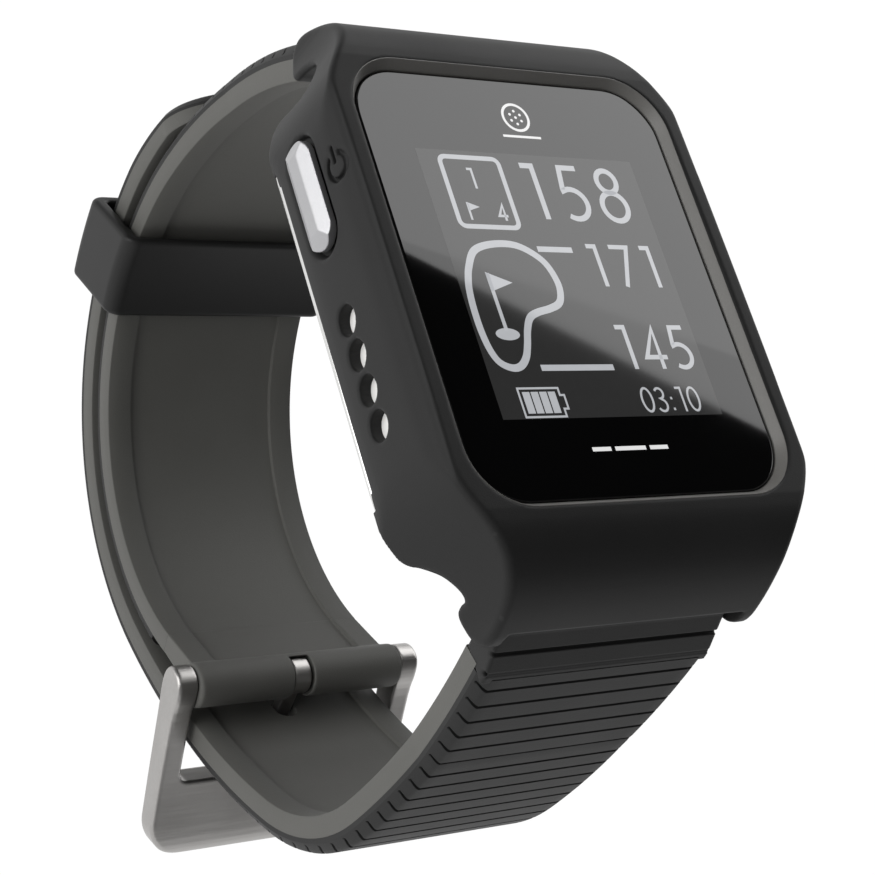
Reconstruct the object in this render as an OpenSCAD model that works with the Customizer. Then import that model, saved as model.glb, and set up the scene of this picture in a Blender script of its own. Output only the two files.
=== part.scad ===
// Golf GPS watch on a closed buckle strap.
// Frame: X runs across the wrist towards the 3 o'clock side, Y runs up the dial
// towards 12 o'clock, Z is the way the display faces. The origin is the centre
// of the flat face of the back cover that rests on the wrist. Millimetres.

/* [Case] */
// full width of the case across the side walls
case_w = 35.8; // [34:0.1:38]
// height of the glass above the wrist face
glass_z = 10; // [9:0.1:12]
// how far the side rails stand above the glass
rail_h = 0.85; // [0.4:0.05:1.2]
// thickness of the steel back cover
back_t = 1; // [0.8:0.1:1.4]
// side wall of the cavity, half width
cav_x = 16.2; // [15.8:0.1:16.4]
// end wall of the cavity, half length
cav_y = 18; // [17.6:0.1:18.2]
// half width between the lug cheeks
lug_x = 11.6; // [11.2:0.1:12]
// spring bar, distance from the case centre
bar_y = 23.7; // [23.4:0.1:24]
// spring bar, height above the wrist face
bar_z = 4; // [3.6:0.1:4.4]

/* [Display] */
// glass half width
lens_x = 15; // [14:0.1:15.2]
// glass half length
lens_y = 18.7; // [18:0.1:19]
// glass corner radius
lens_r = 4.5; // [3:0.1:6]
// glass thickness
lens_t = 1.1; // [0.8:0.1:1.4]
// picture area width
lcd_w = 20.9; // [20:0.1:23]
// picture area height
lcd_h = 24.4; // [23:0.1:27]

/* [Buttons] */
// power button centre along the side
pow_y = 10; // [9:0.1:11]
// power button centre height
but_z = 4.9; // [4.5:0.1:5.3]
// length of the power button cap
pow_l = 9.4; // [8:0.1:10]
// width of the power button cap
pow_w = 3.4; // [3:0.1:3.8]
// length of the other three caps
key_l = 5.8; // [5:0.1:7]
// spacing of the three buttons on the 3 o'clock side
key_pitch = 9; // [8:0.1:10]

/* [Strap] */
// strap half width along the loop
strap_x = 10.45; // [10:0.05:10.6]
// strap half width at the lugs
strap_lx = 11.2; // [10.8:0.1:11.3]
// soft inner layer thickness
lay_in = 1.9; // [1.6:0.1:2.2]
// ribbed outer layer thickness
lay_out = 1.4; // [1:0.1:1.6]
// gap between the two straps where they lie on each other
strap_gap = 0.4; // [0.3:0.05:0.8]
// depth of the hollow between the raised borders
rec_d = 0.4; // [0.2:0.1:0.7]
// width of each raised border
border = 2.5; // [2:0.1:3]

/* [Buckle] */
// buckle bar centre, Y
bk_y = -11.6; // [-12:0.1:-11]
// buckle bar centre, Z
bk_z = -44; // [-45:0.1:-43]
// direction of the frame away from the bar, degrees
bk_a = -132.2; // [-138:0.1:-130]
// frame half width
bk_x = 13.2; // [13:0.1:13.5]
// width of a frame arm
arm_w = 2.1; // [1.9:0.1:2.2]
// depth of the frame
bk_t = 2.6; // [2.2:0.1:3]
// bar centre to the far edge of the frame
bk_len = 17.9; // [17:0.1:18.5]
// bar centre to the far edge of the window
bk_win = 9.7; // [9:0.1:10.2]

/* [Hidden] */
$fn = 64;
cx = case_w / 2;
rail_z = glass_z + rail_h;
lens_z0 = glass_z - lens_t;
lens_ring = 0.55;
strap_t = lay_in + lay_out;
tongue_a = bk_a + 17;
wall_in = 15.4;
groove_x = 16.3;
pit = 0.9;

// ---------- helpers ----------
// a YZ outline drawn as [y, z], pulled out along X from x0 to x1
module yz(x0, x1) {
  translate([x0, 0, 0]) rotate([90, 0, 90]) linear_extrude(height = x1 - x0) children();
}
// an XZ outline drawn as [x, z], pulled out along Y from y0 to y1
module xz(y0, y1) {
  translate([0, y1, 0]) rotate([90, 0, 0]) linear_extrude(height = y1 - y0) children();
}
module rod(x0, x1, y, z, r) {
  translate([x0, y, z]) rotate([0, 90, 0]) cylinder(h = x1 - x0, r = r);
}
module rrect(hx, hy, r) {
  square([2 * hx - 2 * r, 2 * hy], center = true);
  square([2 * hx, 2 * hy - 2 * r], center = true);
  for (sx = [-1, 1], sy = [-1, 1])
    translate([sx * (hx - r), sy * (hy - r)]) circle(r = r);
}
// rounded rectangle standing on z0, each wall leaning out by g at z1
module dish(hx, hy, r, g, z0, z1) {
  xz(-(hy - r), hy - r)
    polygon([[-hx, z0], [hx, z0], [hx + g, z1], [-hx - g, z1]]);
  yz(-(hx - r), hx - r)
    polygon([[-hy, z0], [hy, z0], [hy + g, z1], [-hy - g, z1]]);
  for (sx = [-1, 1], sy = [-1, 1])
    translate([sx * (hx - r), sy * (hy - r), z0])
      cylinder(h = z1 - z0, r1 = r, r2 = r + g);
}
// stadium outline in the YZ plane of a side wall
module stad(l, w) {
  square([l - w, w], center = true);
  for (s = [-1, 1]) translate([s * (l - w) / 2, 0]) circle(d = w);
}
module side_stad(x0, x1, y, z, l, w) {
  translate([0, y, z]) yz(x0, x1) stad(l, w);
}
function mir(p) = [for (i = [len(p) - 1:-1:0]) [-p[i][0], p[i][1]]];
function rev(p) = [for (i = [len(p) - 1:-1:0]) p[i]];

// ---------- strap path: tangent arcs in the YZ plane ----------
// upper strap inner face, from the 12 o'clock lug down to the buckle bar
u_p0 = [23.99, 0.9];
u_r = [40.27, 42.26, 28.65, 22.63];
u_t = [-54.24, -69.65, -93, -134, -216.38];
function ud(t) = [-sin(t), cos(t)];
u_c0 = u_p0 - u_r[0] * ud(u_t[0]);
u_c1 = u_c0 + (u_r[0] - u_r[1]) * ud(u_t[1]);
u_c2 = u_c1 + (u_r[1] - u_r[2]) * ud(u_t[2]);
u_c3 = u_c2 + (u_r[2] - u_r[3]) * ud(u_t[3]);
u_c = [u_c0, u_c1, u_c2, u_c3];
function useg(t) = t > u_t[1] ? 0 : t > u_t[2] ? 1 : t > u_t[3] ? 2 : 3;
function upt(t, o) = let (i = useg(t)) u_c[i] + (u_r[i] + o) * ud(t);
// points at offset o between directions ta and tb, both going down
function urun(ta, tb, o) = let (n = ceil(abs(tb - ta) / 4))
  [for (j = [0:n]) upt(ta + (tb - ta) * j / n, o)];
// lower strap inner face, from the 6 o'clock lug to where it meets the upper strap
function ld(t) = [sin(t), -cos(t)];
t_join = -201.2;
l_off = strap_t + strap_gap;
l_r = [84.79, 17.3, 60.75];
l_t = [-109.27, -93.47, -47.29, -21.2];
l_j = upt(t_join, l_off);
l_c2 = l_j - l_r[2] * ld(l_t[3]);
l_c1 = l_c2 + (l_r[2] - l_r[1]) * ld(l_t[2]);
l_c0 = l_c1 + (l_r[1] - l_r[0]) * ld(l_t[1]);
l_c = [l_c0, l_c1, l_c2];
function lseg(t) = t < l_t[1] ? 0 : t < l_t[2] ? 1 : 2;
function lpt(t, o) = let (i = lseg(t)) l_c[i] + (l_r[i] + o) * ld(t);
function lrun(ta, tb, o) = let (n = ceil(abs(tb - ta) / 3))
  [for (j = [0:n]) lpt(ta + (tb - ta) * j / n, o)];
t_tip = -83.5;

// strap width against height, drawn as [x, z]
module strap_plan() {
  polygon([[-strap_lx, 12], [-strap_lx, -1], [-strap_x, -13], [-strap_x, -70],
    [strap_x, -70], [strap_x, -13], [strap_lx, -1], [strap_lx, 12]]);
}

// ---------- case ----------
hood = [[19.4, rail_z - 0.05], [20.6, 10.6], [21.8, 10.15], [22.9, 9.5],
  [23.9, 8.65], [24.7, 7.7], [25.4, 6.6], [26, 5.4], [26.6, 4], [26.75, 3.2],
  [26.75, 2.6], [26.5, 2], [26.1, 1.5], [25.4, 1.15], [24.6, 1.05],
  [23.9, 1.15], [23.4, 1.5], [23.15, 2.2]];
// 12 o'clock end: an open notch between lug and case, 6 o'clock end: filled in
side = concat(hood, [[23.05, 3], [22.7, 4.2], [22.2, 5.2], [21.5, 5.9],
  [20.6, 6.3], [19.9, 6.1], [19.5, 5.4], [19.4, 4.4], [19.7, 2.9], [19.9, 1.9],
  [19.6, 1.2], [19.1, back_t]]);
side_lo = concat(hood, [[23.1, 2.8], [22.7, 3], [21.9, 2.85], [21, 2.45],
  [20.3, 1.95], [19.7, 1.55], [19.3, 1.15], [19.1, back_t]]);
plan = [[cx, 0], [cx, 13], [cx - 0.15, 14.5], [cx - 0.5, 16.2], [cx - 1.1, 17.8],
  [cx - 2, 19.4], [cx - 3, 21], [cx - 3.8, 22.5], [cx - 4.4, 24], [cx - 4.8, 25.5],
  [cx - 5, 28]];
pocket = [[20.4, -1], [20.4, 5.6], [21.2, 6.6], [22.6, 7], [23.9, 6.6],
  [24.7, 5.9], [25.35, 4.9], [25.75, 4], [30, 4], [30, -1]];

module case_outer() {
  intersection() {
    yz(-cx - 1, cx + 1) polygon(concat([[0, rail_z]], side, mir(side_lo)));
    translate([0, 0, -1]) linear_extrude(height = 14)
      polygon(concat(plan, mir(plan), [for (p = plan) [-p[0], -p[1]]],
        [for (i = [len(plan) - 1:-1:0]) [plan[i][0], -plan[i][1]]]));
    xz(-30, 30) polygon([[-cx + 0.6, 0], [-cx, 4], [-cx, rail_z - 0.95],
      [-cx + 0.15, rail_z - 0.45], [-cx + 0.5, rail_z - 0.1],
      [-cx + 0.9, rail_z + 0.1], [cx - 0.9, rail_z + 0.1],
      [cx - 0.5, rail_z - 0.1], [cx - 0.15, rail_z - 0.45],
      [cx, rail_z - 0.95], [cx, 4], [cx - 0.6, 0]]);
  }
}
module bosses() {
  for (sx = [-1, 1], sy = [-1, 1])
    translate([sx * 14.2, sy * 16, back_t]) {
      cylinder(h = 5, r = 1.9);
      translate([sx > 0 ? 0 : -2.4, -1.9, 0]) cube([2.4, 3.8, 5]);
      translate([-1.9, sy > 0 ? 0 : -2.4, 0]) cube([3.8, 2.4, 5]);
    }
  side_stad(-cav_x - 0.3, -wall_in, pow_y, but_z, 9.6, 4.4);
  for (k = [-1, 0, 1])
    side_stad(wall_in, cav_x + 0.3, k * key_pitch, but_z, 6.8, 4.4);
}
// bores and pit for one button, s is the side of the case
module button_cut(s, y, l, w, peg) {
  side_stad(s > 0 ? cx - pit : -cx - 2, s > 0 ? cx + 2 : -cx + pit, y, but_z, l + 0.7, w + 0.7);
  rod(s > 0 ? 14 : -18, s > 0 ? 18 : -14, y, but_z, 0.84);
  rod(s > 0 ? groove_x - 0.35 : -groove_x - 0.35,
      s > 0 ? groove_x + 0.35 : -groove_x + 0.35, y, but_z, 1.42);
  for (k = [-1, 1])
    rod(s > 0 ? 15.9 : -18, s > 0 ? 18 : -15.9, y + k * peg, but_z, 0.44);
}
contact_y = [-0.8, -3.75, -6.7, -9.65];
contact_z = 4.7;
module upper_housing() color([0.13, 0.13, 0.13]) {
  difference() {
    case_outer();
    difference() {
      translate([0, 0, -0.5]) linear_extrude(height = 8.5) rrect(cav_x, cav_y, 1);
      bosses();
    }
    // window under the glass, seat of the glass and its bevelled rim
    translate([0, 0, 7]) linear_extrude(height = 2.2) rrect(13.5, 17, 1.5);
    translate([0, 0, lens_z0 - 0.15]) linear_extrude(height = 3)
      rrect(lens_x + 0.06, lens_y + 0.06, lens_r);
    dish(lens_x + 0.06, lens_y + 0.06, lens_r, lens_ring + 0.02, glass_z - 0.1, rail_z + 0.1);
    // strap pockets under the two hoods
    yz(-lug_x, lug_x) polygon(pocket);
    yz(-lug_x, lug_x) polygon(mir(pocket));
    // spring bar holes in the cheeks
    for (s = [-1, 1]) rod(-lug_x - 0.95, lug_x + 0.95, s * bar_y, bar_z, 0.45);
    button_cut(-1, pow_y, pow_l, pow_w, 3.1);
    for (k = [-1, 0, 1]) button_cut(1, k * key_pitch, key_l, 3, 2.05);
    for (y = contact_y) rod(-20, -14, y, contact_z, 1.2);
    for (sx = [-1, 1], sy = [-1, 1])
      translate([sx * 14.2, sy * 16, 0]) cylinder(h = 5.4, r = 0.68);
    // engraved power mark: a ring open at the top with a bar in the gap
    translate([0, pow_y + 0.1, 9]) yz(-cx - 1, -cx + 0.4) power_mark();
  }
}
module power_mark() {
  difference() {
    circle(r = 1.2);
    circle(r = 0.88);
    translate([1, 0]) square([1.6, 1.1], center = true);
  }
  translate([1, 0]) square([1.4, 0.32], center = true);
}
module back_cover() color([0.78, 0.78, 0.77]) difference() {
  intersection() {
    linear_extrude(height = back_t - 0.02) rrect(17.4, 19.1, 3.2);
    xz(-30, 30) polygon([[-16.8, 0], [16.8, 0], [17.4, 0.6], [17.4, 2], [-17.4, 2], [-17.4, 0.6]]);
    yz(-30, 30) polygon([[-18.5, 0], [18.5, 0], [19.1, 0.6], [19.1, 2], [-19.1, 2], [-19.1, 0.6]]);
  }
  translate([0, 0, back_t - 0.5]) linear_extrude(height = 1) difference() {
    rrect(17.0 - 0.15, 18.65, 1.6);
    rrect(16.35, 18.15, 1.1);
  }
  for (sx = [-1, 1], sy = [-1, 1]) translate([sx * 14.2, sy * 16, -0.1]) {
    cylinder(h = 2, r = 0.9);
    cylinder(h = 0.62, r = 1.5);
  }
}
module housing_seal() color([0.1, 0.1, 0.1])
  translate([0, 0, back_t - 0.48]) linear_extrude(height = 0.46) difference() {
    rrect(16.83, 18.63, 1.58);
    rrect(16.37, 18.17, 1.12);
  }
module back_screws() color([0.6, 0.6, 0.6])
  for (sx = [-1, 1], sy = [-1, 1]) translate([sx * 14.2, sy * 16, 0]) difference() {
    union() {
      translate([0, 0, 0.06]) cylinder(h = 0.44, r = 1.42);
      translate([0, 0, 0.4]) cylinder(h = 4.4, r = 0.65);
    }
    translate([0, 0, -0.2]) cylinder(h = 0.5, r = 0.5, $fn = 6);
  }
module display_lens() color([0.03, 0.03, 0.035, 1])
  translate([0, 0, lens_z0]) linear_extrude(height = lens_t) rrect(lens_x, lens_y, lens_r);
module lens_seal() color([0.08, 0.08, 0.08])
  translate([0, 0, lens_z0 - 0.14]) linear_extrude(height = 0.13) difference() {
    rrect(lens_x - 0.1, lens_y - 0.1, lens_r);
    rrect(13.8, 17.3, 1.5);
  }
module lcd_panel() color([0.25, 0.27, 0.27]) {
  translate([0, 0.4, 8.05]) cube([25.2, 30.4, 0.7], center = true);
  translate([0, 0.9, 8.57]) cube([lcd_w + 1.4, lcd_h + 1.6, 0.36], center = true);
}
module light_guide() color([0.85, 0.87, 0.88]) {
  translate([0, 0.4, 7.35]) cube([24.6, 29.6, 0.6], center = true);
  translate([-4, -15.2, 7.05]) cube([8, 1, 0.6]);
}
module mid_frame() color([0.2, 0.2, 0.21]) difference() {
  union() {
    translate([0, 0, 6.15]) linear_extrude(height = 0.8) rrect(14.6, 17.4, 1);
    for (s = [-1, 1]) translate([s * 13.4 - 0.5, -14, 6.9]) cube([1, 28, 0.9]);
  }
  translate([0, 2, 6]) linear_extrude(height = 1.2) rrect(8, 9, 1);
  translate([-6.3, -18, 5]) cube([12.6, 2.2, 4]);
}
module display_flex() color([0.72, 0.45, 0.12]) yz(-5, 5) {
  translate([-16.9, 7.86]) square([2.08, 0.14]);
  translate([-16.9, 5.83]) square([0.15, 2.17]);
  translate([-16.9, 5.83]) square([1.9, 0.15]);
}
module main_board() color([0.05, 0.3, 0.14]) difference() {
  translate([0, 0, 4.95]) linear_extrude(height = 0.85) difference() {
    rrect(13, 17.2, 0.8);
    for (sx = [-1, 1], sy = [-1, 1]) translate([sx * 14.2, sy * 16]) circle(r = 2.2);
  }
  for (sx = [-1, 1]) translate([sx * 9, 15.6, 4]) cylinder(h = 3, r = 0.6);
}
module rf_shield() color([0.75, 0.75, 0.74])
  translate([-8.5, 8.7, 3.4]) difference() {
    cube([17, 4.4, 1.54]);
    translate([0.25, 0.25, 0.25]) cube([16.5, 3.9, 2]);
  }
module gps_antenna() color([0.86, 0.82, 0.72]) {
  translate([-6, 13.7, 1.9]) cube([12, 3.4, 3.04]);
  translate([-5, 14.2, 1.7]) cube([10, 2.4, 0.21]);
}
module battery() color([0.7, 0.72, 0.75]) {
  translate([0, -3.6, 1.45]) linear_extrude(height = 3.2) rrect(12, 11.6, 1);
  translate([-3.5, 8, 2.6]) cube([7, 0.6, 1.4]);
}
module battery_pad() color([0.2, 0.2, 0.22])
  translate([-10, -13.5, 4.66]) cube([20, 20, 0.28]);
module contact_block() color([0.16, 0.16, 0.17])
  difference() {
    translate([-16.15, -11.4, 3.1]) cube([0.9, 12.4, 3.2]);
    for (y = contact_y) rod(-17, -15, y, contact_z, 0.52);
  }
module charging_contacts() color([0.92, 0.9, 0.84])
  for (y = contact_y) {
    rod(-16.75, -16.22, y, contact_z, 1.17);
    rod(-16.4, -14.9, y, contact_z, 0.5);
  }
module o_ring(x, y) translate([x, y, but_z]) rotate([0, 90, 0])
  rotate_extrude() translate([1.12, 0]) circle(r = 0.28, $fn = 24);
module button_seals() color([0.1, 0.1, 0.1]) {
  o_ring(-groove_x, pow_y);
  for (k = [-1, 0, 1]) o_ring(groove_x, k * key_pitch);
}
module one_switch(s, y) {
  translate([s > 0 ? 13.1 : -14.4, y - 1.8, but_z - 1]) cube([1.3, 3.6, 2]);
  rod(s > 0 ? 14.35 : -14.48, s > 0 ? 14.48 : -14.35, y, but_z, 0.6);
}
module tact_switches() color([0.3, 0.3, 0.3]) {
  one_switch(-1, pow_y);
  for (k = [-1, 0, 1]) one_switch(1, k * key_pitch);
}
// a faceted cap standing 0.65 proud of the wall, with stem and guide pegs
module cap(s, y, l, w, peg) translate([0, y, but_z]) mirror([s < 0 ? 0 : 1, 0, 0]) {
  intersection() {
    yz(-cx - 0.65, -cx + 0.45) stad(l, w);
    xz(-l, l) polygon([[-cx - 0.65, -0.55], [-cx - 0.65, 0.55], [-cx - 0.05, w / 2],
      [-cx + 1, w / 2], [-cx + 1, -w / 2], [-cx - 0.05, -w / 2]]);
    translate([0, 0, -w]) linear_extrude(height = 2 * w)
      polygon([[-cx - 0.65, -l / 2 + 1.3], [-cx - 0.65, l / 2 - 1.3], [-cx - 0.05, l / 2],
        [-cx + 1, l / 2], [-cx + 1, -l / 2], [-cx - 0.05, -l / 2]]);
  }
  difference() {
    rod(-cx + 0.4, -14.95, 0, 0, 0.8);
    difference() {
      rod(-15.32, -15.08, 0, 0, 1);
      rod(-15.4, -15, 0, 0, 0.56);
    }
  }
  for (k = [-1, 1]) rod(-cx + 0.4, -16.45, k * peg, 0, 0.4);
}
module clip(s, y) translate([s < 0 ? -15.3 : 15.1, y, but_z]) rotate([90, 0, 90])
  linear_extrude(height = 0.2) difference() {
    circle(r = 1.35);
    circle(r = 0.58);
    translate([-0.45, -2]) square([0.9, 2]);
  }
module power_button() color([0.85, 0.86, 0.87]) cap(-1, pow_y, pow_l, pow_w, 3.1);
module power_clip() color([0.5, 0.5, 0.5]) clip(-1, pow_y);
module up_button() color([0.85, 0.86, 0.87]) cap(1, key_pitch, key_l, 3, 2.05);
module up_clip() color([0.5, 0.5, 0.5]) clip(1, key_pitch);
module select_button() color([0.85, 0.86, 0.87]) cap(1, 0, key_l, 3, 2.05);
module select_clip() color([0.5, 0.5, 0.5]) clip(1, 0);
module down_button() color([0.85, 0.86, 0.87]) cap(1, -key_pitch, key_l, 3, 2.05);
module down_clip() color([0.5, 0.5, 0.5]) clip(1, -key_pitch);

// ---------- spring bars ----------
module bar_tube(y) color([0.7, 0.7, 0.7]) difference() {
  rod(-10.6, 10.6, y, bar_z, 0.74);
  rod(-11, 11, y, bar_z, 0.54);
}
module bar_spring(y) color([0.6, 0.6, 0.6]) difference() {
  rod(-7.3, 7.3, y, bar_z, 0.5);
  rod(-8, 8, y, bar_z, 0.26);
}
module bar_tip(s, y) color([0.78, 0.78, 0.78]) {
  rod(s > 0 ? 8.6 : -11.25, s > 0 ? 11.25 : -8.6, y, bar_z, 0.5);
  rod(s > 0 ? 11.2 : -12.4, s > 0 ? 12.4 : -11.2, y, bar_z, 0.4);
}
module upper_bar_tube() bar_tube(bar_y);
module upper_bar_spring() bar_spring(bar_y);
module upper_bar_tip_left() bar_tip(-1, bar_y);
module upper_bar_tip_right() bar_tip(1, bar_y);
module lower_bar_tube() bar_tube(-bar_y);
module lower_bar_spring() bar_spring(-bar_y);
module lower_bar_tip_left() bar_tip(-1, -bar_y);
module lower_bar_tip_right() bar_tip(1, -bar_y);

// ---------- straps ----------
// eye of a strap round its spring bar, s is the side of the case
function eye_in(s) = s > 0 ?
  [[24.5, 5.03], [23.7, 5.3], [22.9, 5.03], [22.4, 4], [22.5, 2.8], [23, 1.9]] :
  [[-24.5, 5.03], [-23.7, 5.3], [-22.9, 5.03], [-22.4, 4], [-22.6, 2.6], [-23.5, 0.6]];
u_in = concat(eye_in(1), urun(u_t[0], -214, 0));
u_mid = concat([[24.95, 3.3], [25.3, 2.2]], urun(-57.5, -214, lay_in));
u_out = concat([[25.4, 2.95], [25.7, 2.3], [26.2, 1.6]], urun(-58.5, -208, strap_t));
l_in = concat(eye_in(-1), lrun(l_t[0], l_t[3], 0), rev(urun(t_tip, t_join, l_off)));
l_mid = concat([[-24.95, 3.3], [-25.3, 2.2]], lrun(l_t[0] + 0.4, l_t[3], lay_in),
  rev(urun(t_tip, t_join, l_off + lay_in)));
l_out = concat([[-25.4, 2.95], [-25.7, 2.3], [-26.2, 1.6]],
  lrun(l_t[0] + 1, l_t[3], strap_t), rev(urun(t_tip, t_join, l_off + strap_t)));

module straight_bar(y) rod(-20, 20, y, bar_z, 0.76);
bk_c = [bk_y, bk_z];
bk_n = ud(u_t[4]);
module tongue_slot() {
  rod(-1.2, 1.2, bk_y, bk_z, 1.85);
  translate([-1.2, bk_y - 3, bk_z - 5]) cube([2.4, 3, 10]);
}
// web between the upper strap and its sleeves round the buckle bar
module sleeve_web() {
  polygon([upt(-212, 0), bk_c - 1.3 * bk_n, bk_c + 1.5 * bk_n, upt(-211.5, lay_in),
    upt(-208, lay_in)]);
}
module upper_strap_inner() color([0.34, 0.34, 0.32]) difference() {
  intersection() {
    union() {
      yz(-20, 20) polygon(concat(u_in, rev(u_mid), [[24.9, 4.5]]));
      yz(-10.35, 10.35) sleeve_web();
      rod(-11.03, 11.03, bk_y, bk_z, 2.1);
    }
    union() {
      xz(-60, 60) strap_plan();
      rod(-12, 12, bk_y, bk_z, 2.2);
    }
  }
  // hollow between the borders
  yz(-strap_x + border, strap_x - border)
    polygon(concat(urun(-62, -212, -1), rev(urun(-62, -212, rec_d))));
  straight_bar(bar_y);
  rod(-20, 20, bk_y, bk_z, 0.96);
  // slot for the tongue
  tongue_slot();
}
module upper_strap_outer() color([0.1, 0.1, 0.1]) intersection() {
  yz(-20, 20) polygon(concat(u_mid_skin(), rev(u_out)));
  xz(-60, 60) strap_plan();
}
function u_mid_skin() = concat([[25.32, 2.3]], urun(-57.5, -208, lay_in + 0.01));
hole_t = [-186, -172, -158, -144];
module strap_hole(t) {
  translate([0, u_c[useg(t)][0], u_c[useg(t)][1]]) rotate([t, 0, 0])
    translate([0, 0, u_r[useg(t)] + l_off + 1.6]) linear_extrude(height = 6, center = true)
      stad_xy(1.9, 2.9);
}
module stad_xy(w, l) {
  square([w, l - w], center = true);
  for (s = [-1, 1]) translate([0, s * (l - w) / 2]) circle(d = w);
}
module tongue_hole() translate([0, bk_y, bk_z]) rotate([tongue_a - 90, 0, 0])
  translate([0, 0.1, 5]) linear_extrude(height = 7, center = true) stad_xy(2.3, 3.6);
module holes() {
  tongue_hole();
  for (t = hole_t) strap_hole(t);
}
// what is cut away round the nose of the lower strap, drawn as [x, z]
module tip_cut() difference() {
  translate([0, 30]) square([60, 110], center = true);
  polygon([[-20, -80], [-20, -23.8], [-strap_x, -23.8], [-9.6, -22], [-8, -20.6],
    [-5.5, -19.3], [-2.5, -18.6], [2.5, -18.6], [5.5, -19.3], [8, -20.6],
    [9.6, -22], [strap_x, -23.8], [20, -23.8], [20, -80]]);
}
module lower_strap_inner() color([0.34, 0.34, 0.32]) difference() {
  intersection() {
    yz(-20, 20) polygon(concat(l_in, rev(l_mid), [[-24.9, 4.5]]));
    xz(-60, 60) strap_plan();
  }
  yz(-strap_x + border, strap_x - border)
    polygon(concat(lrun(-104, l_t[3], -1), rev(urun(-93, t_join, l_off - 1)),
      urun(-93, t_join, l_off + rec_d), rev(lrun(-104, l_t[3], rec_d))));
  straight_bar(-bar_y);
  holes();
  xz(20, 60) tip_cut();
}
module lower_strap_outer() color([0.1, 0.1, 0.1]) difference() {
  intersection() {
    yz(-20, 20) polygon(concat([[-25.32, 2.3]],
      lrun(l_t[0] + 0.4, l_t[3], lay_in + 0.01),
      rev(urun(t_tip, t_join, l_off + lay_in + 0.01)), rev(l_out)));
    xz(-60, 60) strap_plan();
  }
  holes();
  xz(20, 60) tip_cut();
}
// ring round both straps, bent to the arc it slides on
module strap_keeper() color([0.09, 0.09, 0.09]) difference() {
  yz(-12.25, 12.25)
    polygon(concat(urun(-108, -126, -1.4), rev(urun(-111.7, -124.9, 2 * strap_t + strap_gap + 1.4))));
  yz(-10.8, 10.8)
    polygon(concat(urun(-103, -130, -0.3), rev(urun(-103, -130, 2 * strap_t + strap_gap + 0.3))));
}

// ---------- buckle ----------
// frame drawn flat as [distance from the bar, x], then turned about the bar
module buckle_frame() color([0.75, 0.75, 0.73]) translate([0, bk_y, bk_z]) rotate([bk_a, 0, 0])
  difference() {
    intersection() {
      yz(-bk_x, bk_x) polygon([[-1.9, 0.2], [-1.5, -0.95], [-0.6, -1.5], [0.8, -1.45],
        [3, -1.05], [bk_win, -0.8], [bk_len - 2.2, -0.75], [bk_len - 0.5, -0.4],
        [bk_len, 0.4], [bk_len - 0.3, 1.3], [bk_len - 1.3, bk_t - 0.9],
        [bk_win, bk_t - 0.75], [3, bk_t - 0.75], [0.8, bk_t - 0.7], [-0.6, bk_t - 0.85],
        [-1.6, 1.2]]);
      translate([0, 0, -5]) linear_extrude(height = 10)
        union() {
          translate([-bk_x, -3]) square([2 * bk_x, bk_len - 1]);
          translate([-bk_x + 4, 0]) square([2 * bk_x - 8, bk_len]);
          for (s = [-1, 1]) translate([s * (bk_x - 4), bk_len - 4]) circle(r = 4);
        }
    }
    translate([0, 0, -5]) linear_extrude(height = 10) {
      translate([-bk_x + arm_w, -6]) square([2 * (bk_x - arm_w), bk_win + 5]);
      translate([-bk_x + arm_w + 1, -2]) square([2 * (bk_x - arm_w - 1), bk_win + 2]);
      for (s = [-1, 1]) translate([s * (bk_x - arm_w - 1), bk_win - 1]) circle(r = 1);
    }
    rod(-bk_x + 0.7, bk_x - 0.7, 0, 0, 0.9);
  }
module buckle_bar() color([0.7, 0.7, 0.7]) rod(-bk_x + 0.75, bk_x - 0.75, bk_y, bk_z, 0.89);
module buckle_tongue() color([0.75, 0.75, 0.73]) translate([0, bk_y, bk_z]) rotate([tongue_a, 0, 0])
  difference() {
    union() {
      rod(-0.9, 0.9, 0, 0, 1.75);
      yz(-0.75, 0.75) polygon([[0, -0.6], [8.6, -0.6], [14.9, -2.45], [15.3, -2.2],
        [15.1, -1.7], [12, -0.45], [9.2, 0.45], [8, 0.6], [0, 0.6]]);
    }
    rod(-2, 2, 0, 0, 0.95);
  }

upper_housing();
back_cover();
housing_seal();
back_screws();
display_lens();
lens_seal();
lcd_panel();
light_guide();
mid_frame();
display_flex();
main_board();
rf_shield();
gps_antenna();
battery();
battery_pad();
contact_block();
charging_contacts();
button_seals();
tact_switches();
power_button();
power_clip();
up_button();
up_clip();
select_button();
select_clip();
down_button();
down_clip();
upper_bar_tube();
upper_bar_spring();
upper_bar_tip_left();
upper_bar_tip_right();
lower_bar_tube();
lower_bar_spring();
lower_bar_tip_left();
lower_bar_tip_right();
upper_strap_inner();
upper_strap_outer();
lower_strap_inner();
lower_strap_outer();
strap_keeper();
buckle_frame();
buckle_bar();
buckle_tongue();
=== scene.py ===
import math
import bpy
import numpy as np
import openvdb as vdb
from mathutils import Matrix, Vector


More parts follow.
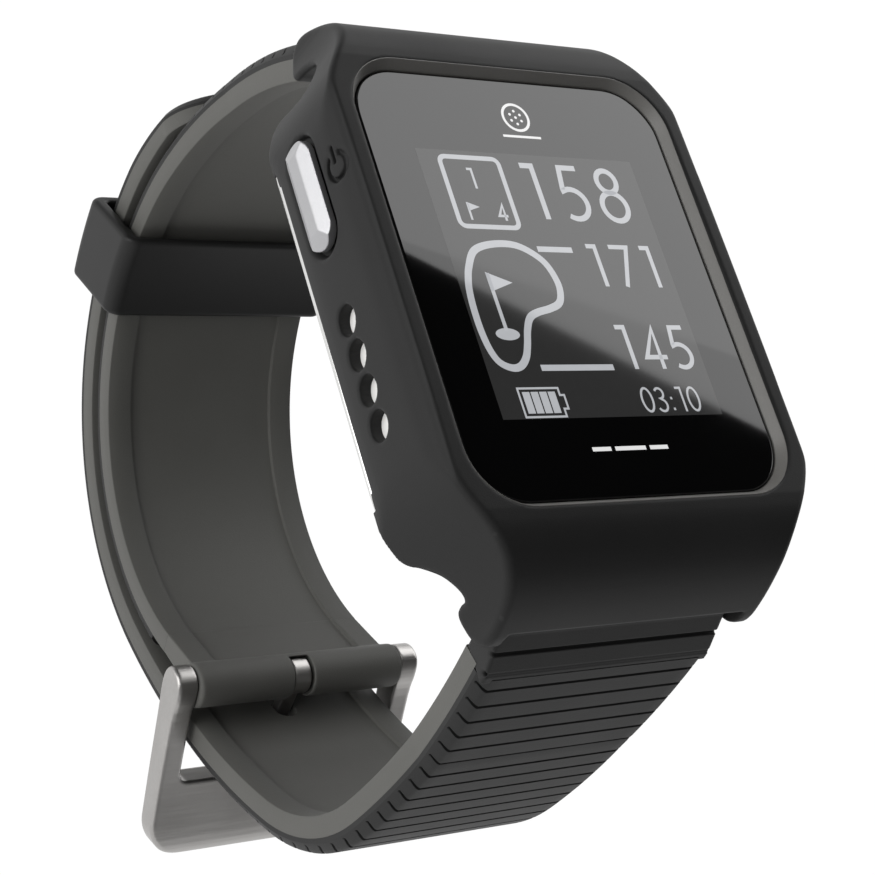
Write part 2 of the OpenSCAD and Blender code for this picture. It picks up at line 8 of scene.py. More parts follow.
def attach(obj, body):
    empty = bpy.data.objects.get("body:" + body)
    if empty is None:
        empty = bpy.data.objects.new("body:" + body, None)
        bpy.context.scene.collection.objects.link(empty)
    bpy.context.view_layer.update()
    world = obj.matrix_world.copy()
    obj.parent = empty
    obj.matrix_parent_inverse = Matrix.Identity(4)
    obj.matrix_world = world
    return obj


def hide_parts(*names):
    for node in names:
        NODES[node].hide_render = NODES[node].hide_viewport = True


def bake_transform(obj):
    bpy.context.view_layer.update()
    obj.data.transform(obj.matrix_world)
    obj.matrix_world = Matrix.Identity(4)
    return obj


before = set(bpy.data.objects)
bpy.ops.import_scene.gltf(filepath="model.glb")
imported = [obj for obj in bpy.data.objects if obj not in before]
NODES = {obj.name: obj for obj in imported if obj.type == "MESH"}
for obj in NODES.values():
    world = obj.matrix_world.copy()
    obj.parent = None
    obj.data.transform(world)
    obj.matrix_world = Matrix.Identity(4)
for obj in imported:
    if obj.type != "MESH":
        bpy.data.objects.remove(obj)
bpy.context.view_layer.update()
MM = 0.001
scene = bpy.context.scene


# ------------------------------------------------------------------ numbers
CX = 17.9
RAIL = 10.85
BAR_Y, BAR_Z = 23.7, 4.0
LI, LO = 1.9, 1.4
TOT = LI + LO
GAP = 0.4
LOFF = TOT + GAP
BK = np.array([-11.6, -44.0])
BK_A = math.radians(-132.2)
TG_A = BK_A + math.radians(17)
BUT_Z = 4.9
POW_Y = 10.0
KEY_PITCH = 9.0

U_P0 = np.array([23.99, 0.9])
U_R = [40.27, 42.26, 28.65, 22.63]
U_T = [-54.24, -69.65, -93.0, -134.0, -216.38]


def ud(t):
    t = np.radians(t)
    return np.stack([-np.sin(t), np.cos(t)], -1)


def ld(t):
    return -ud(t)


U_C = [U_P0 - U_R[0] * ud(U_T[0])]
for i in range(1, 4):
    U_C.append(U_C[-1] + (U_R[i - 1] - U_R[i]) * ud(U_T[i]))
T_JOIN = -201.2
L_R = [84.79, 17.3, 60.75]
L_T = [-109.27, -93.47, -47.29, -21.2]


def upt(t, o):
    i = 0 if t > U_T[1] else 1 if t > U_T[2] else 2 if t > U_T[3] else 3
    return U_C[i] + (U_R[i] + o) * ud(t)


L_J = upt(T_JOIN, LOFF)
L_C2 = L_J - L_R[2] * ld(L_T[3])
L_C1 = L_C2 + (L_R[2] - L_R[1]) * ld(L_T[2])
L_C0 = L_C1 + (L_R[1] - L_R[0]) * ld(L_T[1])
L_C = [L_C0, L_C1, L_C2]


def lpt(t, o):
    i = 0 if t < L_T[1] else 1 if t < L_T[2] else 2
    return L_C[i] + (L_R[i] + o) * ld(t)


class Path:
    """Arc pieces joined end to end: each is (centre, radius, first heading, last heading, sign)."""

    def __init__(self, pieces):
        self.pieces = pieces
        self.starts = [0.0]
        for c, r, a, b, s in pieces:
            self.starts.append(self.starts[-1] + r * abs(math.radians(b - a)))
        self.length = self.starts[-1]

    def at(self, s, o):
        """Points at arc length s (array) and offset o (array), as Y, Z."""
        s, o = np.broadcast_arrays(np.asarray(s, float), np.asarray(o, float))
        out = np.zeros(s.shape + (2,))
        k = np.clip(np.searchsorted(self.starts, s, side="right") - 1, 0, len(self.pieces) - 1)
        for i, (c, r, a, b, sg) in enumerate(self.pieces):
            m = k == i
            if not m.any():
                continue
            f = (s[m] - self.starts[i]) / (self.starts[i + 1] - self.starts[i])
            t = a + (b - a) * f
            out[m] = c + (r + o[m])[:, None] * sg * ud(t)
        return out


UP = Path([(U_C[i], U_R[i], U_T[i], U_T[i + 1], 1) for i in range(4)])


def s_of_u(t):
    s = 0.0
    for i in range(4):
        if t < U_T[i + 1]:
            s += U_R[i] * math.radians(U_T[i] - U_T[i + 1])
        else:
            return s + U_R[i] * math.radians(U_T[i] - t)
    return s


T_TIP = -83.5
back = []
for i in (3, 2, 1):
    a = T_JOIN if i == 3 else U_T[i + 1]
    b = U_T[i] if U_T[i] < T_TIP else T_TIP
    back.append((U_C[i], U_R[i] + LOFF, a, b, 1))
LP = Path([(L_C[i], L_R[i], L_T[i], L_T[i + 1], -1) for i in range(3)] + back)


# ------------------------------------------------------------------ meshes
def link(obj):
    bpy.context.collection.objects.link(obj)
    return obj


def mesh_obj(name, verts, faces, mat, angle=35.0):
    m = bpy.data.meshes.new(name)
    m.from_pydata([tuple(float(c) * MM for c in v) for v in verts], [], [tuple(int(i) for i in f) for f in faces])
    m.validate()
    m.update()
    for p in m.polygons:
        p.use_smooth = True
    m.set_sharp_from_angle(angle=math.radians(angle))
    m.materials.append(mat)
    return link(bpy.data.objects.new(name, m))


def fast_mesh(name, verts, faces, mat, angle=35.0):
    """Same, for large all-quad numpy arrays."""
    m = bpy.data.meshes.new(name)
    n = len(faces)
    m.vertices.add(len(verts))
    m.vertices.foreach_set("co", (np.asarray(verts, np.float64) * MM).astype(np.float32).ravel())
    m.loops.add(n * 4)
    m.loops.foreach_set("vertex_index", np.asarray(faces, np.int32).ravel())
    m.polygons.add(n)
    m.polygons.foreach_set("loop_start", np.arange(0, n * 4, 4, dtype=np.int32))
    m.update(calc_edges=True)
    m.validate()
    m.polygons.foreach_set("use_smooth", np.ones(len(m.polygons), bool))
    if angle < 180:
        m.set_sharp_from_angle(angle=math.radians(angle))
    m.materials.append(mat)
    return link(bpy.data.objects.new(name, m))


def grid_of(lo, hi, h):
    return [np.arange(a - 3 * h, b + 3.01 * h, h) for a, b in zip(lo, hi)]


def surface(field, axes, h):
    """Quads of the zero level of a sampled distance field, as points in millimetres."""
    g = vdb.FloatGrid(3.0 * h)
    g.copyFromArray(np.clip(field, -3 * h, 3 * h).astype(np.float32))
    pts, quads = g.convertToQuads(0.0)
    pts = np.array(pts, float) * h + np.array([a[0] for a in axes])
    quads = np.array(quads, np.int64)
    p = pts[quads]
    vol = np.einsum("ij,ij->i", p[:, 0], np.cross(p[:, 1] - p[:, 0], p[:, 2] - p[:, 0])).sum()
    vol += np.einsum("ij,ij->i", p[:, 0], np.cross(p[:, 2] - p[:, 0], p[:, 3] - p[:, 0])).sum()
    if vol < 0:
        quads = quads[:, ::-1]
    return pts, quads


def poly_sdf(poly, a, b):
    """Signed distance from a closed outline to the grid points (a, b), negative inside."""
    poly = np.asarray(poly, float)
    d2 = np.full(a.shape, 1e9)
    inside = np.zeros(a.shape, bool)
    for (x0, y0), (x1, y1) in zip(poly, np.roll(poly, -1, 0)):
        ex, ey = x1 - x0, y1 - y0
        l2 = ex * ex + ey * ey
        if l2 < 1e-12:
            continue
        t = np.clip(((a - x0) * ex + (b - y0) * ey) / l2, 0, 1)
        d2 = np.minimum(d2, (a - x0 - t * ex) ** 2 + (b - y0 - t * ey) ** 2)
        if y0 != y1:
            cross = (y0 > b) != (y1 > b)
            xi = x0 + (b - y0) * ex / ey
            inside ^= cross & (a < xi)
    d = np.sqrt(d2)
    return np.where(inside, -d, d)


def spline(pts, n=5, closed=False):
    """Catmull-Rom through the points."""
    p = np.asarray(pts, float)
    out = []
    m = len(p)
    rng = range(m) if closed else range(m - 1)
    for i in rng:
        p1, p2 = p[i], p[(i + 1) % m]
        p0 = p[(i - 1) % m] if closed or i > 0 else p1 * 2 - p2
        p3 = p[(i + 2) % m] if closed or i + 2 < m else p2 * 2 - p1
        for k in range(n):
            t = k / n
            out.append(0.5 * (2 * p1 + (p2 - p0) * t + (2 * p0 - 5 * p1 + 4 * p2 - p3) * t * t
                              + (3 * p1 - p0 - 3 * p2 + p3) * t ** 3))
    if not closed:
        out.append(p[-1])
    return np.array(out)


def rmax(a, b, r):
    """Intersection with its edge rounded to radius r."""
    if r <= 0:
        return np.maximum(a, b)
    return np.minimum(-r, np.maximum(a, b)) + np.hypot(np.maximum(r + a, 0), np.maximum(r + b, 0))


def rmin(a, b, r):
    return -rmax(-a, -b, r)


def rbox(a, b, ha, hb, r):
    qa, qb = np.abs(a) - (ha - r), np.abs(b) - (hb - r)
    return np.hypot(np.maximum(qa, 0), np.maximum(qb, 0)) + np.minimum(np.maximum(qa, qb), 0) - r


# ------------------------------------------------------------------ materials
def nodes_of(name):
    m = bpy.data.materials.new(name)
    m.use_nodes = True
    nt = m.node_tree
    return m, nt, nt.nodes["Principled BSDF"]


def soft_mat(name, dark, light, rough, grain, bump, blotch=60.0, spec=0.5, sheen=0.0, stretch=None,
             metallic=0.0, rough_span=0.12, coat=0.0, convex_edge_tint=None):
    """Base colour mottled between dark and light, a fine grain bump, and roughness that varies."""
    m, nt, b = nodes_of(name)
    N, L = nt.nodes, nt.links
    tc = N.new("ShaderNodeTexCoord")
    mp = N.new("ShaderNodeMapping")
    if stretch:
        mp.inputs["Scale"].default_value = stretch
    L.new(tc.outputs["Object"], mp.inputs["Vector"])
    n1 = N.new("ShaderNodeTexNoise")
    n1.inputs["Scale"].default_value = grain
    n1.inputs["Detail"].default_value = 3
    n2 = N.new("ShaderNodeTexNoise")
    n2.inputs["Scale"].default_value = blotch
    n2.inputs["Detail"].default_value = 4
    L.new(mp.outputs["Vector"], n1.inputs["Vector"])
    L.new(tc.outputs["Object"], n2.inputs["Vector"])
    mix = N.new("ShaderNodeMix")
    mix.data_type = "RGBA"
    mix.inputs["A"].default_value = (*dark, 1)
    mix.inputs["B"].default_value = (*light, 1)
    ramp = N.new("ShaderNodeMapRange")
    ramp.inputs["From Min"].default_value = 0.3
    ramp.inputs["From Max"].default_value = 0.7
    add = N.new("ShaderNodeMath")
    add.operation = "MULTIPLY_ADD"
    add.inputs[1].default_value = 0.35
    L.new(n1.outputs["Fac"], add.inputs[0])
    mul = N.new("ShaderNodeMath")
    mul.operation = "MULTIPLY"
    mul.inputs[1].default_value = 0.65
    L.new(n2.outputs["Fac"], mul.inputs[0])
    L.new(mul.outputs[0], add.inputs[2])
    L.new(add.outputs[0], ramp.inputs["Value"])
    L.new(ramp.outputs["Result"], mix.inputs["Factor"])
    colour = mix.outputs["Result"]
    # lighter colour on convex edges, picked out by pointiness
    if convex_edge_tint:
        geo = N.new("ShaderNodeNewGeometry")
        wr = N.new("ShaderNodeMapRange")
        wr.inputs["From Min"].default_value = 0.52
        wr.inputs["From Max"].default_value = 0.62
        L.new(geo.outputs["Pointiness"], wr.inputs["Value"])
        wm = N.new("ShaderNodeMix")
        wm.data_type = "RGBA"
        wm.inputs["B"].default_value = (*convex_edge_tint, 1)
        L.new(wr.outputs["Result"], wm.inputs["Factor"])
        L.new(colour, wm.inputs["A"])
        colour = wm.outputs["Result"]
    L.new(colour, b.inputs["Base Color"])
    rr = N.new("ShaderNodeMapRange")
    rr.inputs["To Min"].default_value = max(0.02, rough - rough_span / 2)
    rr.inputs["To Max"].default_value = min(1.0, rough + rough_span / 2)
    L.new(n2.outputs["Fac"], rr.inputs["Value"])
    L.new(rr.outputs["Result"], b.inputs["Roughness"])
    bp = N.new("ShaderNodeBump")
    bp.inputs["Strength"].default_value = bump
    bp.inputs["Distance"].default_value = 0.00003
    L.new(n1.outputs["Fac"], bp.inputs["Height"])
    L.new(bp.outputs["Normal"], b.inputs["Normal"])
    b.inputs["Metallic"].default_value = metallic
    b.inputs["Specular IOR Level"].default_value = spec
    if sheen:
        b.inputs["Sheen Weight"].default_value = sheen
        b.inputs["Sheen Roughness"].default_value = 0.4
    if coat:
        b.inputs["Coat Weight"].default_value = coat
        b.inputs["Coat Roughness"].default_value = 0.08
    return m


def lit_mat(name, colour, strength):
    """Display segments and printed marks: slightly uneven light under the same gloss as the glass; on the printed marks
    this glow is painted light.
    """
    m, nt, b = nodes_of(name)
    N, L = nt.nodes, nt.links
    tc = N.new("ShaderNodeTexCoord")
    n = N.new("ShaderNodeTexNoise")
    n.inputs["Scale"].default_value = 900
    mr = N.new("ShaderNodeMapRange")
    mr.inputs["To Min"].default_value = strength * 0.93
    mr.inputs["To Max"].default_value = strength * 1.05
    L.new(tc.outputs["Object"], n.inputs["Vector"])
    L.new(n.outputs["Fac"], mr.inputs["Value"])
    L.new(mr.outputs["Result"], b.inputs["Emission Strength"])
    b.inputs["Emission Color"].default_value = (*colour, 1)
    b.inputs["Base Color"].default_value = (0.01, 0.01, 0.01, 1)
    b.inputs["Roughness"].default_value = 0.04
    b.inputs["IOR"].default_value = 1.6
    return m


HOUSING = soft_mat("housing_polymer", (0.018, 0.018, 0.018), (0.022, 0.022, 0.022), 0.5, 9000, 0.35, 90, spec=0.14, convex_edge_tint=(0.028, 0.028, 0.028))
STRAP_G = soft_mat("strap_grey_rubber", (0.088, 0.087, 0.080), (0.102, 0.101, 0.094), 0.62, 7000, 0.5, 120, spec=0.35, sheen=0.05)
STRAP_B = soft_mat("strap_black_rubber", (0.016, 0.016, 0.016), (0.021, 0.021, 0.021), 0.58, 8000, 0.45, 120, spec=0.25)
KEEPER = soft_mat("keeper_rubber", (0.011, 0.011, 0.011), (0.014, 0.014, 0.014), 0.48, 8000, 0.3, 120, spec=0.25)
STEEL = soft_mat("buckle_steel", (0.36, 0.35, 0.34), (0.43, 0.42, 0.41), 0.36, 2600, 0.3, 150, metallic=1.0,
                 stretch=(0.08, 1, 1))
COVER = soft_mat("cover_steel", (0.66, 0.66, 0.65), (0.74, 0.74, 0.73), 0.26, 2400, 0.3, 100, metallic=1.0, stretch=(0.06, 1, 1))
KEY = soft_mat("key_metal", (0.40, 0.40, 0.41), (0.45, 0.45, 0.46), 0.38, 7000, 0.3, 200, metallic=0.8)
RING = soft_mat("bezel_ring_metal", (0.165, 0.16, 0.15), (0.19, 0.185, 0.175), 0.42, 5000, 0.15, 150)
SEAL = soft_mat("seal_rubber", (0.012, 0.012, 0.012), (0.018, 0.018, 0.018), 0.7, 6000, 0.3)
CONTACT = soft_mat("contact_plating", (0.94, 0.93, 0.90), (0.98, 0.97, 0.95), 0.4, 5000, 0.15, 300, metallic=0.1)
BAR = soft_mat("bar_steel", (0.50, 0.50, 0.50), (0.60, 0.60, 0.60), 0.25, 3000, 0.25, 200, metallic=1.0, stretch=(0.05, 1, 1))
CLIP = soft_mat("clip_steel", (0.35, 0.35, 0.36), (0.45, 0.45, 0.46), 0.3, 3000, 0.2, 200, metallic=1.0)
SCREW = soft_mat("screw_steel", (0.42, 0.42, 0.42), (0.55, 0.55, 0.55), 0.32, 2500, 0.3, 200, metallic=1.0)
BOARD = soft_mat("board_laminate", (0.01, 0.09, 0.03), (0.02, 0.13, 0.05), 0.35, 3000, 0.2, 400, coat=0.4)
FLEX = soft_mat("flex_film", (0.42, 0.20, 0.05), (0.5, 0.26, 0.07), 0.3, 3000, 0.1, 300)
CAN = soft_mat("can_steel", (0.6, 0.6, 0.58), (0.7, 0.7, 0.68), 0.35, 2500, 0.25, 200, metallic=1.0)
CERAMIC = soft_mat("antenna_ceramic", (0.62, 0.56, 0.42), (0.7, 0.64, 0.5), 0.55, 6000, 0.2, 200)
FOIL = soft_mat("cell_foil", (0.55, 0.57, 0.6), (0.66, 0.68, 0.7), 0.36, 1800, 0.6, 100, metallic=0.9)
FOAM = soft_mat("pad_foam", (0.05, 0.05, 0.055), (0.08, 0.08, 0.085), 0.85, 4000, 0.9, 200)
PLAST = soft_mat("frame_plastic", (0.05, 0.05, 0.05), (0.07, 0.07, 0.07), 0.5, 6000, 0.3, 200)
GUIDE = soft_mat("guide_acrylic", (0.75, 0.77, 0.78), (0.8, 0.82, 0.83), 0.2, 3000, 0.05, 200)
LCDM = soft_mat("lcd_laminate", (0.06, 0.065, 0.065), (0.075, 0.08, 0.08), 0.2, 3000, 0.05, 200)

GLASS, _nt, _b = nodes_of("lens_glass")
_tc = _nt.nodes.new("ShaderNodeTexCoord")
_n = _nt.nodes.new("ShaderNodeTexNoise")
_n.inputs["Scale"].default_value = 220
_mr = _nt.nodes.new("ShaderNodeMapRange")
_mr.inputs["To Min"].default_value = 0.015
_mr.inputs["To Max"].default_value = 0.035
_nt.links.new(_tc.outputs["Object"], _n.inputs["Vector"])
_nt.links.new(_n.outputs["Fac"], _mr.inputs["Value"])
_nt.links.new(_mr.outputs["Result"], _b.inputs["Roughness"])
_b.inputs["Base Color"].default_value = (0.0012, 0.0012, 0.0014, 1)
_b.inputs["IOR"].default_value = 1.6

for n, m in {
    "housing_seal": SEAL, "back_screws": SCREW, "lens_seal": SEAL, "lcd_panel": LCDM,
    "light_guide": GUIDE, "mid_frame": PLAST, "display_flex": FLEX, "main_board": BOARD, "rf_shield": CAN,
    "gps_antenna": CERAMIC, "battery": FOIL, "battery_pad": FOAM, "contact_block": PLAST,
    "charging_contacts": CONTACT, "button_seals": SEAL, "tact_switches": PLAST, "power_clip": CLIP,
    "up_clip": CLIP, "select_clip": CLIP, "down_clip": CLIP, "upper_bar_tube": BAR, "upper_bar_spring": CLIP,
    "upper_bar_tip_left": BAR, "upper_bar_tip_right": BAR, "lower_bar_tube": BAR, "lower_bar_spring": CLIP,
    "lower_bar_tip_left": BAR, "lower_bar_tip_right": BAR, "buckle_bar": BAR,
}.items():
    o = NODES[n]
    o.data.materials.clear()
    o.data.materials.append(m)


# ------------------------------------------------------------------ housing
def build_housing():
    h = 0.14
    ax, ay, az = grid_of((-18.0, -27.0, 0.0), (18.0, 27.0, 11.1), h)
    top = [(0, 10.98), (8, 10.95), (14, 10.88), (19.4, 10.78)]
    hood = [(19.4, 10.78), (20.6, 10.58), (21.8, 10.14), (22.9, 9.5), (23.9, 8.65), (24.7, 7.7), (25.4, 6.6), (26, 5.4),
            (26.56, 4), (26.74, 3.2), (26.74, 2.6), (26.5, 2.0), (26.1, 1.5), (25.4, 1.15), (24.6, 1.05), (23.9, 1.15),
            (23.4, 1.5), (23.15, 2.2)]
    prof = hood + [(23.05, 3), (22.7, 4.2), (22.2, 5.2), (21.5, 5.9), (20.6, 6.3), (19.9, 6.1), (19.5, 5.4),
                   (19.4, 4.4), (19.6, 2.9), (19.7, 1.9), (19.5, 1.0), (19.1, 0.4), (18.4, 0.1)]
    prof_lo = hood + [(23.1, 2.8), (22.7, 3.0), (21.9, 2.85), (21, 2.45), (20.3, 1.9), (19.7, 1.3), (19.2, 0.6), (18.4, 0.1)]
    right = np.vstack([spline(top, 4)[:-1], spline(prof, 4)])
    left = np.vstack([spline(top, 4)[:-1], spline(prof_lo, 4)])[::-1] * [-1, 1]
    outline = np.vstack([right, left[:-1]])
    Y2, Z2 = np.meshgrid(ay, az, indexing="ij")
    A = poly_sdf(outline, Y2, Z2)[None, :, :]
    plan = [(CX, 0), (CX, 6), (CX - 0.02, 10), (CX - 0.05, 13), (CX - 0.18, 14.5), (CX - 0.5, 16.2), (CX - 1.1, 17.8),
            (CX - 2, 19.4), (CX - 3, 21), (CX - 3.8, 22.5), (CX - 4.4, 24), (CX - 4.8, 25.5), (CX - 5, 28)]
    q = spline(plan, 3)
    ring = np.vstack([q, (q * [-1, 1])[::-1], q[1:] * [-1, -1], (q * [1, -1])[::-1][:-1]])
    X2, Y3 = np.meshgrid(ax, ay, indexing="ij")
    B = poly_sdf(ring, X2, Y3)[:, :, None]
    sec = spline([(17.3, 0.2), (17.6, 1.5), (17.8, 3), (CX, 5), (CX, 7), (17.84, 8.6), (17.66, 9.6), (17.4, 10.3), (17.1, 10.8), (17.0, 12)], 4)
    X4, Z4 = np.meshgrid(ax, az, indexing="ij")
    C = poly_sdf(np.vstack([sec, (sec * [-1, 1])[::-1]]), X4, Z4)[:, None, :]
    X = ax[:, None, None]
    Y = ay[None, :, None]
    Z = az[None, None, :]
    rr = 0.12 + 0.43 * np.clip(np.maximum((Z - 1.0) / 1.6, (np.abs(Y) - 20.5) / 1.5), 0, 1) + 0 * X
    a, b = A + 0 * B, B + 0 * A
    F = np.minimum(-rr, np.maximum(a, b)) + np.hypot(np.maximum(rr + a, 0), np.maximum(rr + b, 0))
    F = rmax(F, C + 0 * A, 0.15)
    # strap pockets
    pk = [(20.4, -1.5), (20.4, 5.3), (20.9, 6.2), (21.8, 6.9), (22.8, 7.05), (23.9, 6.6), (24.7, 5.9), (25.35, 4.9),
          (25.7, 4.05), (30, 3.95), (30, -1.5)]
    pocket = poly_sdf(pk, np.abs(Y2), Z2)[None, :, :]
    F = rmax(F, -rmax(pocket + 0 * B, np.abs(X) - 11.6 + 0 * A, 0.3), 0.18)
    # cavity and window under the glass
    F = np.maximum(F, -np.maximum(rbox(X, Y, 16.2, 17.6, 4.2), Z - 8.0))
    # seat of the back cover
    F = np.maximum(F, -np.maximum(rbox(X, Y, 17.44, 18.44, 5.04), Z - 0.99))
    F = np.maximum(F, -np.maximum(rbox(X, Y, 13.5, 17.0, 1.5), Z - 9.2))
    # seat of the glass, then the bevel that leans out of it
    seat = rbox(X, Y, 15.1, 18.8, 4.5)
    F = np.maximum(F, -np.maximum(seat + 0 * Z, 8.76 - Z + 0 * seat))
    lean = (rbox(X, Y, 15.12, 18.82, 4.5) - np.clip(Z - 9.9, 0, 3) * 0.62) * 0.85
    F = rmax(F, -np.maximum(lean, 9.7 - Z + 0 * lean), 0.12)
    # button pits and charging holes
    pit = rbox(Y - POW_Y, Z - BUT_Z, 5.25, 2.2, 2.199)
    flare = np.clip(-17.25 - X, 0, 2) * 0.55
    F = rmax(F, -rmax((pit + 0.22 - flare), X + 17.0 + 0 * pit, 0.1), 0.16)
    for k in (-1, 0, 1):
        pit = rbox(Y - k * KEY_PITCH, Z - BUT_Z, 3.45, 2.0, 1.999)
        flare = np.clip(X - 17.25, 0, 2) * 0.55
        F = rmax(F, -rmax((pit + 0.22 - flare), 17.0 - X + 0 * pit, 0.1), 0.16)
    for y in (-0.8, -3.75, -6.7, -9.65):
        F = rmax(F, -np.maximum(np.hypot(Y - y, Z - 4.7) - 1.21 + 0 * X, X + 16.6 + 0 * Y), 0.08)
    # engraved power mark
    a, b = Y - (POW_Y + 0.1), Z - 9.0
    arc = np.abs(np.hypot(a, b) - 1.06) - 0.2
    arc = np.maximum(arc, -np.maximum(np.abs(b) - 0.5, -a))
    bar = np.maximum(np.abs(b) - 0.18, np.abs(a - 1.0) - 0.75)
    F = np.maximum(F, -np.maximum(np.minimum(arc, bar) + 0 * X, X + 17.3 + 0 * a))
    v, q = surface(F, (ax, ay, az), h)
    o = fast_mesh("case_housing", v, q, HOUSING, 180)
    sm = o.modifiers.new("smooth", "SMOOTH")
    sm.factor, sm.iterations = 0.5, 2
    return o


housing = build_housing()


def trimmed_cover():
    src = NODES["back_cover"]
    o = link(bpy.data.objects.new("back_cover_plate", src.data.copy()))
    o.matrix_world = src.matrix_world.copy()
    tool = stack("cover_trim", [at_z(rr_ring(17.4, 18.4, 5.0), z) for z in (-1.0, 3.0)], COVER, 30)
    m = o.modifiers.new("trim", "BOOLEAN")
    m.operation, m.solver, m.object = "INTERSECT", "EXACT", tool
    dg = bpy.context.evaluated_depsgraph_get()
    me = bpy.data.meshes.new_from_object(o.evaluated_get(dg))
    o.modifiers.clear()
    o.data = me
    bpy.data.objects.remove(tool)
    for q in me.polygons:
        q.use_smooth = True
    me.set_sharp_from_angle(angle=math.radians(28))
    me.materials.clear()
    me.materials.append(COVER)
    return o


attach(housing, "case")
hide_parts("upper_housing")


def rr_ring(hx, hy, r, n=14):
    pts = []
    for cx, cy, a0 in ((hx - r, hy - r, 0), (-hx + r, hy - r, 90), (-hx + r, -hy + r, 180), (hx - r, -hy + r, 270)):
        for k in range(n + 1):
            a = math.radians(a0 + 90 * k / n)
            pts.append((cx + r * math.cos(a), cy + r * math.sin(a)))
    return pts


def stack(name, rings, mat, angle=35, closed=False):
    """Rings of equal count joined in order; capped at both ends unless closed on itself."""
    n = len(rings[0])
    verts = [p for r in rings for p in r]
    faces = []
    m = len(rings)
    for i in range(m if closed else m - 1):
        a, b = i * n, ((i + 1) % m) * n
        for k in range(n):
            faces.append((a + k, a + (k + 1) % n, b + (k + 1) % n, b + k))
    if not closed:
        faces.append(tuple(range(n - 1, -1, -1)))
        faces.append(tuple(range((m - 1) * n, m * n)))
    return mesh_obj(name, verts, faces, mat, angle)


def at_z(pts, z):
    return [(x, y, z) for x, y in pts]


cover = trimmed_cover()
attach(cover, "case")
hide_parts("back_cover")

glass = stack("display_glass", [at_z(rr_ring(15.0 - e, 18.7 - e, 4.5 - e), z)
                                for e, z in ((0.1, 8.92), (0.0, 9.0), (0.0, 9.86), (0.03, 9.93), (0.09, 9.98), (0.18, 10.0), (0.26, 10.0), (0.4, 10.0), (0.8, 10.0))], GLASS, 30)
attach(glass, "case")
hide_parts("display_lens")

bezel = stack("bezel_ring", [at_z(rr_ring(15.04 + g, 18.74 + g, 4.5 + g), z) for g, z in
                             ((0.04, 9.62), (0.05, 9.9), (0.12, 10.02), (0.56, 10.72), (0.60, 10.76), (0.66, 10.74), (0.30, 10.0), (0.20, 9.62))], RING, 50, closed=True)
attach(bezel, "case")


# ------------------------------------------------------------------ display graphics
INK = lit_mat("segment_light", (0.80, 0.82, 0.86), 0.56)
# the printed marks glow with emission: painted light on print
PRINT_GLOW = lit_mat("print_painted_glow", (0.88, 0.88, 0.88), 0.86)
PANEL = lit_mat("panel_glow", (0.9, 0.9, 0.9), 0.024)


def slab(name, outlines, z0, z1, mat):
    """Closed flat pieces between z0 and z1, one for each convex outline."""
    verts, faces = [], []
    for o in outlines:
        b, n = len(verts), len(o)
        area = sum(o[i][0] * o[(i + 1) % n][1] - o[(i + 1) % n][0] * o[i][1] for i in range(n))
        if area < 0:
            o = o[::-1]
        verts += [(x, y, z0) for x, y in o] + [(x, y, z1) for x, y in o]
        faces.append(tuple(range(b + n - 1, b - 1, -1)))
        faces.append(tuple(range(b + n, b + 2 * n)))
        for k in range(n):
            faces.append((b + k, b + (k + 1) % n, b + n + (k + 1) % n, b + n + k))
    return mesh_obj(name, verts, faces, mat, 30)


def ribbon(pts, w, closed=False):
    """A mitred line of width w as quads."""
    p = np.asarray(pts, float)
    n = len(p)
    out = []
    L, R = [], []
    for i in range(n):
        a = p[(i - 1) % n] if closed or i > 0 else None
        c = p[(i + 1) % n] if closed or i < n - 1 else None
        d1 = (p[i] - a) / np.linalg.norm(p[i] - a) if a is not None else None
        d2 = (c - p[i]) / np.linalg.norm(c - p[i]) if c is not None else None
        if d1 is None:
            d1 = d2
        if d2 is None:
            d2 = d1
        n1 = np.array([-d1[1], d1[0]])
        n2 = np.array([-d2[1], d2[0]])
        m = n1 + n2
        m = m / max(np.linalg.norm(m), 1e-6)
        k = w / 2 / max(float(m @ n1), 0.45)
        L.append(p[i] + m * k)
        R.append(p[i] - m * k)
    for i in range(n if closed else n - 1):
        j = (i + 1) % n
        out.append([tuple(L[i]), tuple(R[i]), tuple(R[j]), tuple(L[j])])
    return out


def arc_pts(cx, cy, rx, ry, a0, a1, n=18):
    return [(cx + rx * math.cos(math.radians(a0 + (a1 - a0) * k / n)), cy + ry * math.sin(math.radians(a0 + (a1 - a0) * k / n)))
            for k in range(n + 1)]


# strokes of each figure in a box one unit high, with its advance width
GLYPH = {
    "0": (0.62, [(arc_pts(0.27, 0.5, 0.24, 0.47, 90, 450, 32)[:-1], True)]),
    "1": (0.42, [([(0.0, 0.965), (0.235, 0.965), (0.235, 0.0)], False)]),
    "3": (0.56, [(arc_pts(0.22, 0.75, 0.19, 0.21, 150, -90, 16) + arc_pts(0.22, 0.27, 0.22, 0.24, 75, -150, 18), False)]),
    "4": (0.64, [([(0.40, 0.0), (0.40, 0.93), (0.04, 0.27), (0.58, 0.27)], False)]),
    "5": (0.58, [([(0.46, 0.965), (0.13, 0.965), (0.07, 0.56)] + arc_pts(0.20, 0.30, 0.27, 0.27, 118, -125, 20), False)]),
    "7": (0.60, [([(0.0, 0.965), (0.48, 0.965), (0.16, 0.0)], False)]),
    "8": (0.60, [(arc_pts(0.25, 0.755, 0.19, 0.20, -90, 270, 26)[:-1], True), (arc_pts(0.25, 0.29, 0.245, 0.255, 90, 450, 28)[:-1], True)]),
    ":": (0.36, [([(0.11, 0.16), (0.11, 0.06)], False), ([(0.11, 0.60), (0.11, 0.50)], False)]),
}


def write(text, x, y, h, w, gaps=0.0, squeeze=1.0):
    out = []
    for ch in text:
        adv, strokes = GLYPH[ch]
        for pts, closed in strokes:
            out += ribbon([(x + a * h * squeeze, y + b * h) for a, b in pts], w, closed)
        x += (adv + gaps) * h * squeeze
    return out


